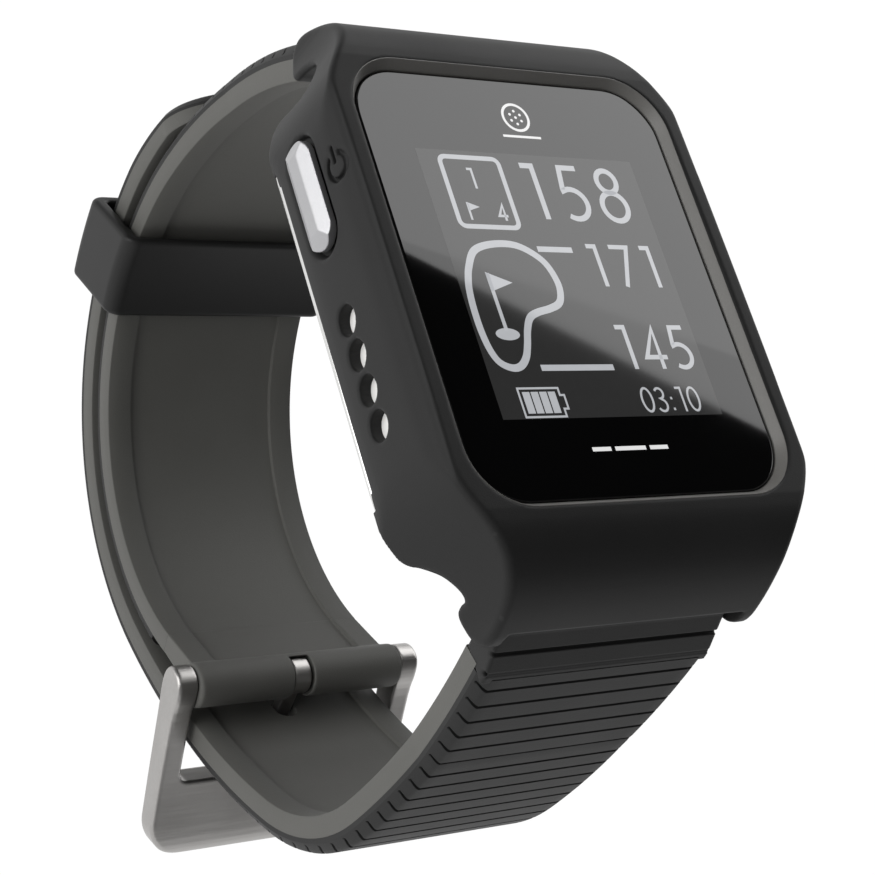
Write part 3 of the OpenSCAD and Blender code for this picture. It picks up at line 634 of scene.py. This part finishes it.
Z0, ZT = 9.96, 10.008
panel = slab("display_area", [[(-10.72, -12.05), (10.78, -12.05), (10.78, 11.5), (-10.72, 11.5)]], Z0, 10.003, PANEL)
ink = []
ink += ribbon([(x - 5.9, y + 7.73) for x, y in rr_ring(2.82, 3.17, 0.55, 5)], 0.42, True)
ink += write("1", -6.45, 8.05, 1.85, 0.22)
# hole number row: a small pin flag beside the figure
ink += ribbon([(-7.45, 5.15), (-7.45, 6.75)], 0.2)
ink.append([(-7.45, 6.75), (-6.35, 6.35), (-7.45, 5.98)])
ink += write("4", -4.75, 5.2, 1.55, 0.23)
ink += write("1", -1.05, 5.5, 5.15, 0.5, squeeze=0.95)
ink += write("5", 2.2, 5.5, 5.15, 0.5)
ink += write("8", 6.15, 5.45, 5.2, 0.5)
ink += ribbon([(-2.1, 2.7), (1.35, 2.7)], 0.5)
ink += write("1", 2.85, -0.55, 3.8, 0.4, squeeze=0.95)
ink += write("7", 5.15, -0.55, 3.8, 0.4)
ink += write("1", 8.35, -0.55, 3.8, 0.4, squeeze=0.95)
ink += ribbon([(-5.65, -7.78), (1.4, -7.78)], 0.52)
ink += write("1", 2.85, -7.95, 3.85, 0.4, squeeze=0.95)
ink += write("4", 5.0, -7.95, 3.85, 0.4)
ink += write("5", 7.95, -7.95, 3.85, 0.4)
ink += write("03:10", 3.05, -11.72, 2.15, 0.2, gaps=0.06)
GREEN = [(-9.32, 0.86), (-8.49, 2.2), (-7.34, 2.81), (-5.58, 3.08), (-3.95, 2.92), (-2.53, 2.15), (-1.67, 1.18), (-1.24, -0.29),
         (-1.37, -1.41), (-1.85, -2.19), (-2.87, -2.64), (-4.21, -2.99), (-5.11, -3.48), (-5.73, -4.53), (-6.21, -5.82), (-6.73, -6.89),
         (-7.46, -7.61), (-8.33, -7.77), (-9.32, -7.3), (-9.85, -6.24), (-10.1, -4.55), (-10.1, -2.62), (-9.95, -1.11), (-9.7, -0.1)]
ink += ribbon(spline(GREEN, 5, closed=True), 0.62, True)
ink += ribbon([(-7.78, 0.42), (-7.72, -4.6)], 0.34)
ink.append([(-7.95, 0.5), (-5.65, -0.4), (-7.88, -1.2)])
ink.append(arc_pts(-7.72, -4.9, 1.12, 0.52, 0, 360, 28)[:-1])
ink += ribbon([(-8.55, -9.5), (-4.75, -9.5), (-4.75, -10.1), (-4.35, -10.1), (-4.35, -11.25), (-4.75, -11.25), (-4.75, -11.9), (-8.55, -11.9)], 0.17, True)
for k in range(4):
    x = -8.22 + k * 0.8
    ink.append([(x, -11.6), (x + 0.68, -11.6), (x + 0.68, -9.8), (x, -9.8)])
graphics = slab("display_segments", ink, Z0, ZT, INK)
# printed marks outside the picture area: a plain ball on a ground line, and a row of plain bars, made to glow with
# emission as painted light
pm = ribbon(arc_pts(0.3, 15.1, 1.25, 1.25, 0, 360, 36)[:-1], 0.24, True)
for dx, dy in ((0, 0), (0.5, 0.28), (-0.5, 0.28), (0.5, -0.3), (-0.5, -0.3), (0, 0.62), (0, -0.62)):
    pm.append(arc_pts(0.3 + dx, 15.1 + dy, 0.13, 0.13, 0, 360, 12)[:-1])
pm += ribbon([(-1.6, 13.25), (2.2, 13.25)], 0.22)
for x0, x1 in ((-3.4, -1.6), (-1.2, 1.8), (2.2, 4.0)):
    pm += ribbon([(x0, -14.7), (x1, -14.7)], 0.34)
marks = slab("printed_marks", pm, Z0, ZT, PRINT_GLOW)
for o in (panel, graphics, marks):
    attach(o, "case")


# ------------------------------------------------------------------ keys
def build_key(name, side, y, l, w, body, node):
    h = 0.06
    ax, ay, az = grid_of((-18.6, -l / 2 - 0.05, -w / 2 - 0.05), (-16.5, l / 2 + 0.05, w / 2 + 0.05), h)
    X, Y, Z = ax[:, None, None], ay[None, :, None], az[None, None, :]
    f = rbox(Y, Z, l / 2, w / 2, w / 2 - 0.001) + 0 * X
    depth = -CX - 0.65
    f = rmax(f, depth - X + 0 * f, 0.05)
    f = np.maximum(f, X + CX - 0.45)
    # sloping flanks and ends of the faceted top
    run = w / 2 - 0.6
    nz = np.array([0.6, run]) / math.hypot(0.6, run)
    f = rmax(f, ((np.abs(Z) - w / 2) * nz[0] - (X + CX + 0.05) * nz[1]) + 0 * f, 0.05)
    ne = np.array([0.6, 1.3]) / math.hypot(0.6, 1.3)
    f = rmax(f, ((np.abs(Y) - l / 2) * ne[0] - (X + CX + 0.05) * ne[1]) + 0 * f, 0.05)
    v, q = surface(f, (ax, ay, az), h)
    v = v + np.array([0, 0, 0])
    if side > 0:
        v[:, 0] *= -1
        q = q[:, ::-1]
    v[:, 1] += y
    v[:, 2] += BUT_Z
    o = fast_mesh(name, v, q, KEY, 22)
    stem = []
    for x, r in ((-17.5, 0.8), (-15.33, 0.8), (-15.32, 0.56), (-15.08, 0.56), (-15.07, 0.8), (-14.98, 0.8), (-14.95, 0.72)):
        stem.append([(x if side < 0 else -x, y + r * math.cos(a), BUT_Z + r * math.sin(a)) for a in np.linspace(0, 2 * math.pi, 28, endpoint=False)])
    if side > 0:
        stem = stem[::-1]
    s = stack(name + "_stem", stem, KEY, 30)
    for x in (o, s):
        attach(x, body)
    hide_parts(node)
    return o


build_key("power_cap", -1, POW_Y, 9.4, 3.4, "power_key", "power_button")
build_key("up_cap", 1, KEY_PITCH, 5.8, 3.0, "up_key", "up_button")
build_key("select_cap", 1, 0, 5.8, 3.0, "select_key", "select_button")
build_key("down_cap", 1, -KEY_PITCH, 5.8, 3.0, "down_key", "down_button")


# ------------------------------------------------------------------ straps
def half_width(z):
    return np.interp(-z, [1, 13], [11.2, 10.45])


def loft(name, path, stations, section, mat, nose=None, angle=32):
    """section(s) gives arrays (inset from the side, side, offset, forward shift); the strap's half width comes from Z."""
    rows = []
    for s in stations:
        inset, side, off, shift = section(s)
        if nose is not None:
            k = min(max((s - (path.length - 13)) / 13, 0.0), 1.0)
            off = off * (1 - 0.3 * k * k * (3 - 2 * k)) - 0.25 * k
        yz = path.at(np.clip(s - shift, 0, path.length), off)
        hw = half_width(yz[:, 1])
        if nose is not None:
            hw = np.minimum(hw, nose(s - shift))
        x = side * np.maximum(hw - inset * np.minimum(1.0, hw / 4.0), 0.0)
        rows.append(np.column_stack([x, yz]))
    rows = np.array(rows)
    m, n = rows.shape[:2]
    verts = rows.reshape(-1, 3)
    i = np.arange(m - 1)[:, None] * n
    k = np.arange(n)[None, :]
    kk = (k + 1) % n
    q = np.stack([i + k, i + kk, i + n + kk, i + n + k], -1).reshape(-1, 4)
    faces = [tuple(f) for f in q]
    faces.append(tuple(range(n - 1, -1, -1)))
    faces.append(tuple(range((m - 1) * n, m * n)))
    o = mesh_obj(name, verts, faces, mat, angle)
    return o


def fix_normals(o):
    import bmesh
    bm = bmesh.new()
    bm.from_mesh(o.data)
    bmesh.ops.recalc_face_normals(bm, faces=bm.faces)
    bm.to_mesh(o.data)
    bm.free()
    return o


def inner_section(rec0, rec1, depth=0.4):
    def sec(s):
        k = np.clip(min(s - rec0, rec1 - s) / 0.5, 0, 1)
        r = depth * (k * k * (3 - 2 * k))
        half = [(0.0, 0.16, 0), (0.05, 0.05, 0), (0.16, 0.0, 0), (1.2, 0.0, 0), (2.38, 0.0, 0), (2.46, 0.03 * (r > 0), 0),
                (2.56, r * 0.9, 0), (2.66, r, 0), (4.0, r, 0), (6.0, r, 0), (8.5, r, 0)]
        pts = [(i, -1, o) for i, o, _ in half] + [(i, 1, o) for i, o, _ in half[::-1]]
        pts += [(0.0, 1, LI * 0.6), (0.0, 1, LI), (4.0, 1, LI), (4.0, -1, LI), (0.0, -1, LI), (0.0, -1, LI * 0.6)]
        a = np.array(pts, float)
        return a[:, 0], a[:, 1], a[:, 2], np.zeros(len(a))
    return sec


PITCH = 1.85


def outer_section(first, last, depth=0.3):
    def sec(s):
        near = round((s - first) / PITCH)
        sk = first + near * PITCH
        g = max(0.0, 1 - abs(s - sk) / 0.14) if first - 0.1 <= sk <= last else 0.0
        g = depth * g ** 0.7
        half = [(0.0, LI + 0.01, 0, 0), (0.0, LI + 0.42, 0, 0), (0.1, LI + 0.6, 0.42, 0.0), (0.28, LI + 0.82, 0.42, 0.75),
                (0.5, TOT - 0.3, 0.26, 1.0), (0.75, TOT - 0.09, 0.1, 1.0), (1.0, TOT, 0.0, 1.0), (2.0, TOT, 0, 1.0),
                (4.0, TOT, 0, 1.0), (6.0, TOT, 0, 1.0), (8.5, TOT, 0, 1.0)]
        pts = [(i, -1, o - g * c, sh) for i, o, sh, c in half] + [(i, 1, o - g * c, sh) for i, o, sh, c in half[::-1]]
        pts += [(4.0, 1, LI + 0.01, 0), (4.0, -1, LI + 0.01, 0)]
        a = np.array(pts, float)
        return a[:, 0], a[:, 1], a[:, 2], a[:, 3]
    return sec


def rib_stations(s0, s1, first, last):
    out = set()
    for s in np.arange(s0, s1, 0.46):
        out.add(round(float(s), 4))
    k = 0
    while first + k * PITCH <= last:
        c = first + k * PITCH
        for d in (-0.15, -0.08, 0.0, 0.08, 0.15):
            if s0 < c + d < s1:
                out.add(round(c + d, 4))
        k += 1
    out.add(round(s0, 4))
    out.add(round(s1, 4))
    a = sorted(out)
    keep = [a[0]]
    for v in a[1:]:
        if v - keep[-1] > 0.03:
            keep.append(v)
    return keep


SU0 = s_of_u(-57.5)
SU_IN = s_of_u(-214)
SU_OUT = s_of_u(-208)
up_in = loft("upper_strap_soft", UP, list(np.arange(0.2, SU_IN, 0.5)) + [SU_IN], inner_section(s_of_u(-62), SU_IN + 9), STRAP_G)
up_out = loft("upper_strap_ribbed", UP, rib_stations(SU0, SU_OUT, SU0 + 1.5, SU_OUT - 1), outer_section(SU0 + 1.5, SU_OUT - 1), STRAP_B, angle=25)

LN = LP.length


def nose(s):
    f = np.clip((s - (LN - 6.6)) / 6.6, 0, 0.995)
    return 10.45 * (1 - f ** 2.2) ** 0.5 + 0.05 + np.where(s < LN - 6.6, 9, 0)


SL0 = L_R[0] * math.radians(5.3)
lo_in = loft("lower_strap_soft", LP, list(np.arange(0.1, LN - 6, 0.5)) + list(np.linspace(LN - 6, LN, 40)),
             inner_section(SL0, LN - 8), STRAP_G, nose)
lo_out = loft("lower_strap_ribbed", LP, [s for s in rib_stations(0.6, LN - 5.7, 1.8, LN - 7)] + list(np.linspace(LN - 5.6, LN, 36)),
              outer_section(1.8, LN - 7), STRAP_B, nose, angle=25)
for o in (up_in, up_out, lo_in, lo_out):
    fix_normals(o)


# holes through the lower strap: the tongue's own and four more towards the tip
def stadium_cutter(name, centre, axis_deg, w, l, depth):
    c, s = math.cos(axis_deg), math.sin(axis_deg)
    ring = []
    for k in range(28):
        a = 2 * math.pi * k / 28
        x, t = w / 2 * math.cos(a), w / 2 * math.sin(a) + (l - w) / 2 * (1 if math.sin(a) >= 0 else -1)
        ring.append((x, t))
    rings = []
    for d in (-depth, depth):
        rings.append([(x, centre[0] + c * d - s * t, centre[1] + s * d + c * t) for x, t in ring])
    o = stack(name, rings, STRAP_B, 30)
    return fix_normals(o)


cutters = []
tg = np.array([math.cos(TG_A), math.sin(TG_A)])
cutters.append(stadium_cutter("cut0", BK + tg * 5.0, TG_A, 2.3, 3.6, 4.0))
for t in (-186, -172, -158, -144):
    i = 3 if t <= U_T[3] else 2
    c = U_C[i] + (U_R[i] + LOFF + 1.65) * ud(t)
    cutters.append(stadium_cutter("cut%d" % t, c, math.radians(t + 90), 1.9, 2.9, 2.6))
bpy.ops.object.select_all(action="DESELECT")
for c in cutters:
    c.select_set(True)
bpy.context.view_layer.objects.active = cutters[0]
bpy.ops.object.join()
cutter = bpy.context.view_layer.objects.active


def carve(o, tool):
    m = o.modifiers.new("holes", "BOOLEAN")
    m.operation, m.solver, m.object = "DIFFERENCE", "EXACT", tool
    dg = bpy.context.evaluated_depsgraph_get()
    me = bpy.data.meshes.new_from_object(o.evaluated_get(dg))
    o.modifiers.clear()
    o.data = me
    me.set_sharp_from_angle(angle=math.radians(28))


carve(lo_in, cutter)
carve(lo_out, cutter)

slotc = stack("slot_cut", [[(x, BK[0] + 1.85 * math.cos(a), BK[1] + 1.85 * math.sin(a)) for a in np.linspace(0, 2 * math.pi, 40, endpoint=False)]
                           for x in (-1.2, 1.2)], STRAP_B, 30)
fix_normals(slotc)
carve(up_in, slotc)
bpy.data.objects.remove(cutter)
bpy.data.objects.remove(slotc)


# strap roots round the spring bars
def build_root(name, sgn, mat):
    h = 0.15 if sgn > 0 else 0.1
    path = UP if sgn > 0 else LP
    e = np.array([sgn * BAR_Y, BAR_Z])
    ax, ay, az = grid_of((-11.3, min(e[0] - 2, e[0] + 4) - 1, -1.2), (11.3, e[0] + 4.5, 5.6), h)
    if sgn < 0:
        ay = np.arange(-29.5, -21.5, h)
    else:
        ay = np.arange(21.5, 29.5, h)
    Y, Z = np.meshgrid(ay, az, indexing="ij")
    f = np.hypot(Y - e[0], Z - e[1]) - 1.33
    s_in = 0.0 if sgn > 0 else 0.6
    neck = [e + np.array([-sgn * 1.2, -0.3]), path.at(np.array([s_in]), np.array([0.15]))[0],
            path.at(np.array([s_in + 1.6]), np.array([0.2]))[0], path.at(np.array([s_in + 1.8]), np.array([2.7]))[0]]
    if sgn > 0:
        neck.append(path.at(np.array([s_in + 0.2]), np.array([2.75]))[0])
    else:
        neck += [path.at(np.array([1.5]), np.array([3.26]))[0], path.at(np.array([0.3]), np.array([3.26]))[0],
                 np.array([-25.98, 2.3]), np.array([-25.6, 3.2])]
    neck += [e + np.array([sgn * 1.25, -0.2]), e + np.array([sgn * 0.5, 1.0])]
    f = rmin(f, poly_sdf(neck, Y, Z), 0.5)
    f = np.maximum(f, -(np.hypot(Y - e[0], Z - e[1]) - 0.76))
    if sgn < 0:
        a, b = np.array([-25.98, 2.3]), path.at(np.array([1.8]), np.array([3.3]))[0]
        d = (a - b) / np.linalg.norm(a - b)
        for k in (1, 2):
            c = b + d * PITCH * k
            f = np.maximum(f, 0.17 - np.hypot(Y - c[0], Z - c[1]))
    X = ax[:, None, None]
    F = rmax(f[None] + 0 * X, np.abs(X) - 11.15 + 0 * f[None], 0.3)
    v, q = surface(F, (ax, ay, az), h)
    return fast_mesh(name, v, q, mat, 180)


up_root = build_root("upper_strap_root", 1, STRAP_B)
lo_root = build_root("lower_strap_root", -1, STRAP_B)


# sleeves of the upper strap round the buckle bar
def build_sleeves():
    h = 0.14
    ax, ay, az = grid_of((-11.1, -14.0, -48.4), (11.1, -3.4, -41.7), h)
    Y, Z = np.meshgrid(ay, az, indexing="ij")
    tube = np.hypot(Y - BK[0], Z - BK[1]) - 2.1
    nn = ud(U_T[4])
    tt = np.array([-nn[1], nn[0]])
    web = poly_sdf([upt(-213.2, 0.02), BK - 1.3 * nn, BK + 1.5 * nn, upt(-211.5, LI), upt(-210, LI)], Y, Z)
    well = poly_sdf([upt(-211.0, -1.0), BK - 2.3 * nn + 1.6 * tt, BK - 0.9 * nn + 1.6 * tt, upt(-216.38, 0.4), upt(-211.0, 0.4)], Y, Z)
    X = ax[:, None, None]
    T = rmax(tube[None] + 0 * X, np.abs(X) - 11.03 + 0 * tube[None], 0.4)
    W = rmax(web[None] + 0 * X, np.abs(X) - 10.44 + 0 * web[None], 0.12)
    W = rmax(W, -rmax(well[None] + 0 * X, np.abs(X) - 7.9 + 0 * well[None], 0.1), 0.08)
    F = rmin(T, W, 0.3)
    F = np.maximum(F, -(np.hypot(Y - BK[0], Z - BK[1]) - 0.96)[None] + 0 * X)
    notch = np.maximum(np.hypot(Y - BK[0], Z - BK[1]) - 1.85, -9.0)[None] + 0 * X
    F = rmax(F, -np.maximum(notch, np.abs(X) - 1.2), 0.12)
    F = rmax(F, -np.maximum(np.abs(X) - 1.0, (tube - 1.0)[None] + 0 * X + np.where(Y - BK[0] < 1.3, 0, 9)[None]), 0.25)
    v, q = surface(F, (ax, ay, az), h)
    return fast_mesh("upper_strap_sleeves", v, q, STRAP_G, 180)


sleeves = build_sleeves()
for o in (up_in, sleeves):
    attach(o, "upper_strap")
for o in (up_out, up_root):
    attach(o, "upper_strap")
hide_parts("upper_strap_inner")
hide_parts("upper_strap_outer")
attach(lo_root, "case")
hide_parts("lower_strap_inner")
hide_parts("lower_strap_outer")
for o, sl in ((lo_in, "strap_grey"), (lo_out, "strap_black")):
    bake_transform(o)


# ------------------------------------------------------------------ keeper
def build_keeper():
    h = 0.14
    mid_o = 3.5
    half = 4.3
    ax, au, ao = grid_of((-12.4, -half, -1.5), (12.4, half, 8.5), h)
    X, U, O = ax[:, None, None], au[None, :, None], ao[None, None, :]
    a = rbox(X, O - mid_o, 12.25, 4.9, 1.5)
    b = rbox(X, O - mid_o, 10.8, 3.8, 0.6)
    F = rmax(a, -b, 0.3) + 0 * U
    F = rmax(F, np.abs(U) - half + 0 * F, 0.5)
    v, q = surface(F, (ax, au, ao), h)
    r = U_R[2] + v[:, 2]
    t = np.radians(-117.0 - 1.3 * (v[:, 2] + 1.4) / 9.8) - v[:, 1] / r
    p = np.column_stack([v[:, 0], U_C[2][0] - r * np.sin(t), U_C[2][1] + r * np.cos(t)])
    return fix_normals(fast_mesh("strap_keeper_loop", p, q, KEEPER, 180))


keeper = build_keeper()
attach(keeper, "keeper")
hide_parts("strap_keeper")


# ------------------------------------------------------------------ buckle
def place(v, ang):
    """Local x, distance from the bar, back-side height, turned about the bar."""
    c, s = math.cos(ang), math.sin(ang)
    return np.column_stack([v[:, 0], BK[0] + v[:, 1] * c - v[:, 2] * s, BK[1] + v[:, 1] * s + v[:, 2] * c])


def build_frame():
    h = 0.11
    ax, ad, az = grid_of((-13.3, -2.0, -1.6), (13.3, 18.0, 2.2), h)
    D, Z = np.meshgrid(ad, az, indexing="ij")
    prof = spline([(-1.9, 0.2), (-1.5, -0.95), (-0.6, -1.5), (0.8, -1.45), (3, -1.05), (9.7, -0.8), (15.7, -0.75), (17.4, -0.4),
                   (17.9, 0.4), (17.6, 1.3), (16.6, 1.7), (9.7, 1.85), (3, 1.85), (0.8, 1.9), (-0.6, 1.75), (-1.6, 1.2)], 4, closed=True)
    P = poly_sdf(prof, D, Z)[None]
    X = ax[:, None, None]
    Dd = ad[None, :, None]
    O = rbox(X, Dd - 5.0, 13.2, 12.9, 4.0)
    O = np.where(Dd < 5, np.abs(X) - 13.2 + 0 * Dd, O)
    W = rbox(X, Dd - 0.0, 11.1, 9.7, 1.0)
    W = np.where(Dd < 0, np.abs(X) - 11.1 + 0 * Dd, W)
    F = rmax(P + 0 * O, O + 0 * P, 0.42)
    F = rmax(F, -W + 0 * P, 0.25)
    v, q = surface(F, (ax, ad, az), h)
    return fast_mesh("buckle_frame_steel", place(v, BK_A), q, STEEL, 180)


def build_tongue():
    h = 0.08
    ax, ad, az = grid_of((-1.0, -1.8, -2.6), (1.0, 15.4, 1.8), h)
    D, Z = np.meshgrid(ad, az, indexing="ij")
    ring = np.hypot(D, Z) - 1.75
    pin = poly_sdf(spline([(0, -0.6), (4, -0.6), (8.6, -0.62), (11, -1.3), (14.9, -2.45), (15.3, -2.2), (15.1, -1.7), (12, -0.45), (9.2, 0.42),
                           (7.5, 0.6), (4, 0.6), (0, 0.6)], 4, closed=True), D, Z)
    X = ax[:, None, None]
    a = rmax(ring[None] + 0 * X, np.abs(X) - 0.9 + 0 * ring[None], 0.15)
    b = rmax(pin[None] + 0 * X, np.abs(X) - 0.75 + 0 * pin[None], 0.2)
    F = rmin(a, b, 0.2)
    F = np.maximum(F, -(np.hypot(D, Z)[None] - 0.95 + 0 * X))
    v, q = surface(F, (ax, ad, az), h)
    return fast_mesh("buckle_tongue_steel", place(v, TG_A), q, STEEL, 180)


fr = build_frame()
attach(fr, "buckle")
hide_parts("buckle_frame")
to = build_tongue()
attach(to, "tongue")
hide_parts("buckle_tongue")


# ------------------------------------------------------------------ floor, light, camera
FLOOR_Z = -60.5 * MM
fm, fnt, fb = nodes_of("studio_floor")
fb.inputs["Base Color"].default_value = (0.03, 0.03, 0.03, 1)
fb.inputs["Roughness"].default_value = 0.9
fb.inputs["Specular IOR Level"].default_value = 0.1
fb.inputs["Emission Color"].default_value = (1, 1, 1, 1)
fb.inputs["Emission Strength"].default_value = 1.0
bpy.ops.mesh.primitive_plane_add(size=6.0, location=(0, 0, FLOOR_Z))
floor = bpy.context.active_object
floor.name = "floor"
floor.data.materials.append(fm)

world = bpy.data.worlds.new("studio")
scene.world = world
world.use_nodes = True
world.node_tree.nodes["Background"].inputs["Color"].default_value = (1, 1, 1, 1)
wnt = world.node_tree
wtc = wnt.nodes.new("ShaderNodeTexCoord")
wdot = wnt.nodes.new("ShaderNodeVectorMath")
wdot.operation = "DOT_PRODUCT"
wdot.inputs[1].default_value = (0.57, 0.36, 0.74)
wmr = wnt.nodes.new("ShaderNodeMapRange")
wmr.inputs["From Min"].default_value = 0.1
wmr.inputs["From Max"].default_value = 0.85
wmr.inputs["To Min"].default_value = 0.24
wmr.inputs["To Max"].default_value = 0.02
wnt.links.new(wtc.outputs["Generated"], wdot.inputs[0])
wnt.links.new(wdot.outputs["Value"], wmr.inputs["Value"])
wnt.links.new(wmr.outputs["Result"], wnt.nodes["Background"].inputs["Strength"])

cam_pos = np.array([-101.852, -66.571, 119.391])


def area(name, centre, target, sx, sy, radiance, right=None):
    d = bpy.data.lights.new(name, "AREA")
    d.shape = "RECTANGLE"
    d.size, d.size_y = sx * MM, sy * MM
    d.energy = radiance * math.pi * (sx * MM) * (sy * MM)
    o = link(bpy.data.objects.new(name, d))
    z = Vector(centre) - Vector(target)
    z.normalize()
    if right is None:
        r = Vector((0, 0, 1)).cross(z)
    else:
        r = Vector(right) - z * Vector(right).dot(z)
    r.normalize()
    u = z.cross(r)
    m = Matrix((r, u, z)).transposed().to_4x4()
    m.translation = Vector(centre) * MM
    o.matrix_world = m
    return o


# the soft box whose edge crosses the glass as a diagonal
def mirrored(gx, gy, plane_p, plane_n):
    g = np.array([gx, gy, 10.0])
    v = g - cam_pos
    v = v / np.linalg.norm(v)
    v[2] *= -1
    t = ((plane_p - g) @ plane_n) / (v @ plane_n)
    return g + v * t


mid_dir = np.array([0.572, 0.359, 0.737])
mid_dir /= np.linalg.norm(mid_dir)
pp = np.array([0, 0, 10.0]) + mid_dir * 420
G1, G2, G3 = (-14.76, 2.1), (15.77, -14.29), (12.0, 16.0)
E1, E2, E3 = (mirrored(*g, pp, mid_dir) for g in (G1, G2, G3))
ed = (E2 - E1) / np.linalg.norm(E2 - E1)
inw = (E3 - E1) - ed * ((E3 - E1) @ ed)
inw /= np.linalg.norm(inw)
WID, LEN = 420.0, 620.0
cen = (E1 + E2) / 2 + inw * WID / 2
gb = area("glass_box", cen, cen - mid_dir, LEN, WID, 2.1, right=ed)
gb.visible_diffuse = False
H1, H2 = (mirrored(*g, pp, mid_dir) for g in ((-4.58, -0.75), (17.64, -8.33)))
hd = (H2 - H1) / np.linalg.norm(H2 - H1)
hin = (E3 - H1) - hd * ((E3 - H1) @ hd)
hin /= np.linalg.norm(hin)
hc = (H1 + H2) / 2 + hin * WID / 2 - mid_dir * 12
gb2 = area("glass_box_upper", hc, hc - mid_dir, LEN, WID, 0.45, right=hd)
gb2.visible_diffuse = False
top = area("top_soft", (150, 120, 420), (0, 0, 0), 380, 380, 0.3)
top.visible_glossy = False
area("left_box", (-420, 60, 130), (0, 0, 0), 420, 420, 3.0)

cam = bpy.data.cameras.new("camera")
cam.sensor_fit = "HORIZONTAL"
cam.sensor_width = 36.0
cam.lens = 86.07
cam.clip_start, cam.clip_end = 0.005, 20
co = link(bpy.data.objects.new("camera", cam))
R = Matrix(((0.81983, 0.02553, -0.57203), (-0.27826, 0.89087, -0.35904), (0.50044, 0.45353, 0.73748))).to_4x4()
R.translation = Vector(cam_pos.tolist()) * MM
co.matrix_world = R
scene.camera = co
scene.view_settings.view_transform = "Standard"
scene.view_settings.look = "None"
